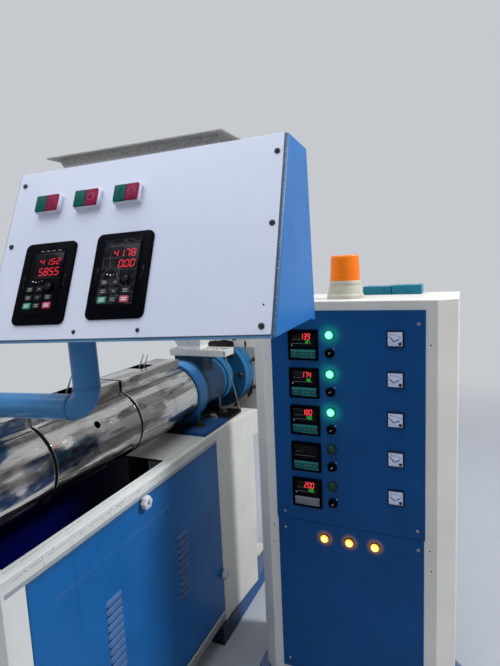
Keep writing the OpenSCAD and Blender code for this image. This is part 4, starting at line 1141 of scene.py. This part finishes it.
def controllerUnit(i):
    # panel controller: bevelled black bezel, sunk window, lit figures, key film with stripes
    c, p, n, stand = controller, cabinetFace, controller["size"], controller["stand"]
    x, z = c["left"], rowZ(i, c["top"])
    face, floor = stand - 2.3, stand - c["sink"]
    lit = face + 0.25

    def at(fx, fy):
        return x + n * fx, z - n * fy

    parts = [raised(roundedBox(n, n, 3, 4, at(0.5, 0.5)),
                    [(0, 0), (0, stand - 1.6), (0.5, stand - 0.5), (1.4, stand), (6.5, stand), (8.2, floor),
                     (8.6, floor)], p, "black"),
             plate(p, at(0.5, 0.33), (78, 44, 1, 2), 0.4, "screenBlack", 0.1, face - 0.2)]
    if c["shown"][i]:
        real, wanted = c["shown"][i]
        parts += digits("8", p, *at(0.27, 0.13), 0.135 * n, 0.18 * n, lit, "unlit", "unlit")
        parts += digits(real, p, *at(0.405, 0.13), 0.35 * n, 0.18 * n, lit, "hotDigit")
        parts += digits(wanted, p, *at(0.55, 0.35), 0.19 * n, 0.09 * n, lit, "greenDigit")
    else:
        parts += digits("8888", p, *at(0.27, 0.15), 0.46 * n, 0.17 * n, lit, "unlit", "unlit")
        parts += digits("888", p, *at(0.52, 0.35), 0.2 * n, 0.1 * n, lit, "unlit", "unlit")
    for fx, fy, width in ((0.3, 0.325, 0.3), (0.45, 0.455, 0.7)):
        parts.append(plate(p, at(fx, fy), (width * n, 0.7, 0.2, 2), 0.15, "keyGrey", 0.05, lit))
    for k in range(6):
        material = "whiteDot" if k == 0 and c["shown"][i] else "unlit"
        parts.append(pillow(disc(1.1, 10, at(0.13 + 0.145 * k, 0.515)), 0.3, p, material, 0.1, lit))
    band, stripe = ("greyKeys", "keyGrey") if i == 4 else ("tealKeys", "tealLight")
    parts += [plate(p, at(0.5, 0.795), (84, 29.5, 1, 2), 0.6, band, 0.2, face - 0.2),
              plate(p, at(0.5, 0.69), (84, 3.2, 0.6, 2), 0.2, stripe, 0.05, face + 0.4),
              plate(p, at(0.66, 0.925), (52, 3.6, 0.6, 2), 0.2, stripe, 0.05, face + 0.4)]
    for fx in (0.21, 0.48, 0.62, 0.79):
        for way in (-1, 1):
            parts.append(bar(p, (x + n * fx + way * 1.3, z - n * 0.8), 55 * way, 2.3, 1.0, face + 0.5,
                             "keyGrey"))
    return parts


piece("temperatureControllers", joined(controllerUnit, range(5)),
      stands=("controllers",))

meter = dict(size=48, left=500.7, top=1069.5, stand=6, needles=(128, 139, 136, 131, 141))


def meterUnit(i):
    # square ammeter: navy bezel, pale card, scale ticks, moving needle, round adjuster
    p, n, stand = cabinetFace, meter["size"], meter["stand"]
    face = stand - 0.9
    x, z = meter["left"] + n / 2, rowZ(i, meter["top"]) - n / 2
    pivot = np.array([x - 2, z - 9.5])
    parts = [raised(roundedBox(n, n, 2, 3, (x, z)),
                    [(0, 0), (0, face - 0.4), (0.8, stand), (2.9, stand), (3.5, face - 0.2),
                     (3.7, face - 0.2)], p, "bezel"),
             plate(p, (x, z), (40.8, 40.8, 1, 2), 0.3, "meterCard", 0.1, face - 0.2)]
    for k in range(11):
        angle = 138 - 9.6 * k
        reach = 1.5 if k % 5 else 2.3
        parts.append(bar(p, pivot + heading(angle) * 22, angle, reach, 1.1, face + 0.25, "meterInk"))
    needle = meter["needles"][i]
    return parts + [bar(p, pivot + heading(needle) * 9.5, needle, 8.5, 2.6, face + 0.6, "meterInk"),
                    bar(p, pivot + (7.5, 6.5), 28, 7, 2.6, face + 0.3, "meterInk"),
                    plate(p, (x - 13.5, z + 14.5), (5, 2.2, 0.6, 2), 0.15, "meterInk", 0.05, face + 0.1),
                    pillow(disc(4.9, 24, (x + n * 0.29, z - n * 0.29)), 1.4, p, "blackScrew", 0.5, face,
                           dome=0.4)]


piece("ammeterUnits", joined(meterUnit, range(5)), stands=("ammeters",))


def lampUnit(centre, lens):
    # pilot lamp: knurled nickel ring, and a lens whose height follows a quarter circle towards its middle
    r = lamp["lens"] / 2
    dome = [(1.2 + (r - 1.3) * f, 6.5 + 5.2 * math.sin(math.acos(1 - f))) for f in np.linspace(0, 1, 9)]
    return [ring(disc(lamp["ring"] / 2, 48, centre, 24, 0.22), 3.0, 5.5, cabinetFace, "lampRing", edge=0.9),
            raised(disc(r, 36, centre), [(0.8, 0.5), (0.8, 5.6), (1.0, 6.3)] + dome, cabinetFace, lens)]


piece("greenPilotLamps",
      joined(lambda i: lampUnit((lamp["x"], rowZ(i, lamp["middle"])), "green" if i < 3 else "greenOff"),
             range(5)),
      stands=("green_lamps",))
piece("amberPilotLamps", joined(lambda spot: lampUnit(spot, "amber"), amberSpots),
      stands=("amber_lamps",))

selector = dict(x=332, middle=998, ring=30, grip=(20.5, 7.6, 3.0, 5), rest=45)
ringParts = []
for i in range(5):
    node = "selector_%d" % (i + 1)
    centre = np.array([selector["x"], rowZ(i, selector["middle"])])
    rest, along = selector["rest"], heading(selector["rest"])
    ringParts += [ring(disc(selector["ring"] / 2, 48, centre, 24, 0.2), 3.2, 5.4, cabinetFace, "black",
                       edge=1.2),
                  ring(disc(12.1, 40, centre), 0.6, 5.7, cabinetFace, "lampRing", edge=0.2),
                  bar(cabinetFace, centre + 18.5 * along, rest, 2.4, 1.8, 0.5, "white")]
    reach = cabinet["faceY"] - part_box(node)[0].y / mm
    piece("selectorHandle%d" % (i + 1), [
        pillow(disc(11.2, 40, centre), reach - 8.5, cabinetFace, "black", 1.2, base=0.6),
        raised(aimed(roundedBox(*selector["grip"]), along, centre),
               [(0, reach - 9), (0, reach - 3), (0.6, reach - 1), (1.8, reach)], cabinetFace, "black"),
        bar(cabinetFace, centre + 4.6 * along, rest, 4.2, 1.5, reach, "white")],
        node, (node,))
piece("selectorRings", ringParts, stands=("selector_rings",))

panelBolts = ((588.5, 1329), (586.6, 708), (170, 706), (170, 1329), (588.4, 648), (169.8, 648.4),
              (169, 168.4), (588, 168))
frameHoles = ((621, 1269), (621, 650), (625, 587), (129, 649), (127, 589), (115, 304.5))


def panelFasteners():
    # zinc screws, each at its own turn, holes in the frame painted near black as shade, and the dark seam
    # between the panels
    parts = [part for n, centre in enumerate(panelBolts)
             for part in crossHead(cabinetFace, centre, 10, "zinc", 15 + 25 * n)]
    parts += [pillow(disc(2.3, 14, centre), 0.35, cabinetFront, "slit", 0.1) for centre in frameHoles]
    lower, upper = [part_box("cabinet_panel_" + name) for name in ("lower", "upper")]
    middle = ((upper[0].x + upper[1].x) / 2 / mm, (lower[1].z + upper[0].z) / 2 / mm)
    size = ((upper[1].x - upper[0].x) / mm, (upper[0].z - lower[1].z) / mm, 0.3, 2)
    return parts + [plate(cabinetFront, middle, size, 0.6, "slit")]


piece("cabinetScrews", panelFasteners())

print("cabinet top")
weldBeads = dict(bends=(((441, 0, 48), (1, 0, 0), (0, 1, 0)), ((393, 0, 0), (0, 1, 0), (0, 0, 1)),
                        ((47, 0, 0), (0, 1, 0), (0, 0, 1))), foot=(441, 0, 159),
                 bead=((29.9, -4.5), (30.5, -3.2), (30.8, -0.6), (30.8, 0.6), (30.5, 3.2), (29.9, 4.5)),
                 fillet=((29.9, 0), (31.6, 1.6), (34.4, 6.6), (35.0, 8.0)))


def pipeWelds():
    # painted weld beads where the bends meet the straight pipes, and round the console's foot plate
    def onArm(local, u, v):
        return frameAt(np.array(console["post"]) + armTurn @ local, armTurn @ u, armTurn @ v)

    beads = [spun(weldBeads["bead"], onArm(*place), "weld", 48) for place in weldBeads["bends"]]
    return beads + [spun(weldBeads["fillet"], onArm(weldBeads["foot"], (1, 0, 0), (0, 1, 0)), "weld", 48)]


piece("armPipeWelds", pipeWelds(), "arm")

beacon = dict(x=355, y=90, base=56,
              foot=((57, 0), (58, 1), (58, 10), (57, 12), (55.6, 14), (54.6, 15), (50.4, 40), (50.0, 41),
                    (50.4, 42), (48.6, 55), (48, 56)),
              dome=((46.6, 0), (47, 2), (46.2, 20), (44.4, 60), (43.7, 72), (42.8, 76.5), (40.8, 79),
                    (38.2, 80), (35, 79.4), (20, 79.2), (4, 79.2)))
topPlane = levelAt(cabinet["top"], beacon["x"], beacon["y"])
piece("beaconFoot", [spun(beacon["foot"], topPlane, "beaconCream")],
      stands=("beacon_base",))
domeProfile = [(r, beacon["base"] + h) for r, h in beacon["dome"]]
piece("beaconDome", [spun(domeProfile, topPlane, "beaconOrange", 144, 48, 0.35)],
      stands=("beacon_lens",))

terminalBox = dict(x=482, y=255, length=190, depth=80, height=32, lid=3.4, steps=((-1, 0), (1, 2.5)),
                   screwX=36, screwY=30)


def boxHalves():
    # teal box of two halves, the right one a little higher, each with its lid and four screws
    b = terminalBox
    parts = []
    plane = levelAt(cabinet["top"], b["x"], b["y"])
    half = b["length"] / 2
    for way, lift in b["steps"]:
        x = way * (half / 2 + 0.4)
        screwPlane = levelAt(cabinet["top"] + b["height"] - 4.6 + lift, b["x"], b["y"])
        parts += [plate(plane, (x, 0), (half - 1.0, b["depth"], 3, 4), b["height"] - 7.5 + lift, "teal", 1.0),
                  plate(plane, (x, 0), (half - 1.6, b["depth"] - 1, 3, 4), b["lid"], "teal", 1.4,
                        b["height"] - 7.9 + lift)]
        for dx in (-b["screwX"], b["screwX"]):
            for dy in (-b["screwY"], b["screwY"]):
                parts += crossHead(screwPlane, (x + dx, dy), 6, "zinc")
    return parts


piece("tealTerminalBox", boxHalves(), stands=("terminal_box",))

print("floor and lights")
studio = dict(half=14.0, floor=("#B0B3B7", "#B2B5B9"), backdrop="#C6CACF", fade=(1.6, 5.5), soft="#DDE4F0",
              softPower=0.24)


def seenPlainly(tree, *rays):
    # 1 for the camera's and other named rays, which see the plain backdrop and not its light
    path = put(tree, "LightPath")
    seen = path.outputs["Is Camera Ray"]
    for ray in rays:
        seen = maths(tree, "MAXIMUM", seen, path.outputs[ray])
    return seen


material, tree, place = startMaterial("paleFloor")
tone = blended(tree, between(tree, noise(tree, place, 3.0, 3.0), 0.3, 0.7),
               *[linear(code) for code in studio["floor"]])
far = put(tree, "VectorMath", dict(operation="LENGTH"), i0=place).outputs["Value"]
fade = maths(tree, "MULTIPLY", between(tree, far, *studio["fade"]), seenPlainly(tree, "Is Glossy Ray"))
finished(material, put(tree, "MixShader", i0=fade, i1=put(tree, "BsdfDiffuse", Color=tone).outputs[0],
                       i2=put(tree, "Emission", Color=linear(studio["backdrop"]),
                              Strength=1.0).outputs[0]).outputs[0])
mesh = bpy.data.meshes.new("studioFloor")
mesh.from_pydata([(x * studio["half"], y * studio["half"], 0)
                  for x, y in ((-1, -1), (1, -1), (1, 1), (-1, 1))], [], [(0, 1, 2, 3)])
mesh.materials.append(material)
added("studioFloor", mesh)

world = bpy.data.worlds.new("paleStudio")
bpy.context.scene.world = world
world.use_nodes = True
tree = world.node_tree
tree.nodes.clear()
soft = put(tree, "Background", Color=linear(studio["soft"]), Strength=studio["softPower"])
shown = put(tree, "Background", Color=linear(studio["backdrop"]), Strength=1.0)
seen = seenPlainly(tree, "Is Glossy Ray", "Is Transmission Ray")
put(tree, "OutputWorld", Surface=put(tree, "MixShader", i0=seen, i1=soft.outputs[0],
                                     i2=shown.outputs[0]).outputs[0])

lights = dict(
    sideTube=dict(place=(3.9, 1.05, 4.3), aim=(-0.2, 0.0, 0.9), size=(0.7, 0.7), power=240, colour="#F4F7FF"),
    overhead=dict(place=(-0.6, -0.6, 4.6), aim=(-0.2, 0.1, 0.8), size=(4.0, 4.0), power=175,
                  colour="#EEF3FF"),
    front=dict(place=(-1.6, -4.2, 2.6), aim=(0.1, 0.0, 0.9), size=(3.0, 2.4), power=30, colour="#F2F5FF"))
for name, light in lights.items():
    source = bpy.data.lights.new(name, "AREA")
    source.shape = "RECTANGLE"
    source.size, source.size_y = light["size"]
    source.energy = light["power"]
    source.color = linear(light["colour"])[:3]
    direction = np.array(light["aim"]) - np.array(light["place"])
    direction /= np.linalg.norm(direction)
    sideways = np.cross(direction, (0, 0, 1))
    sideways /= np.linalg.norm(sideways)
    added(name, source).matrix_world = standing(light["place"], sideways, np.cross(sideways, direction),
                                                -direction)

bpy.context.scene.view_settings.view_transform = "Standard"
bpy.context.view_layer.update()
print("done")
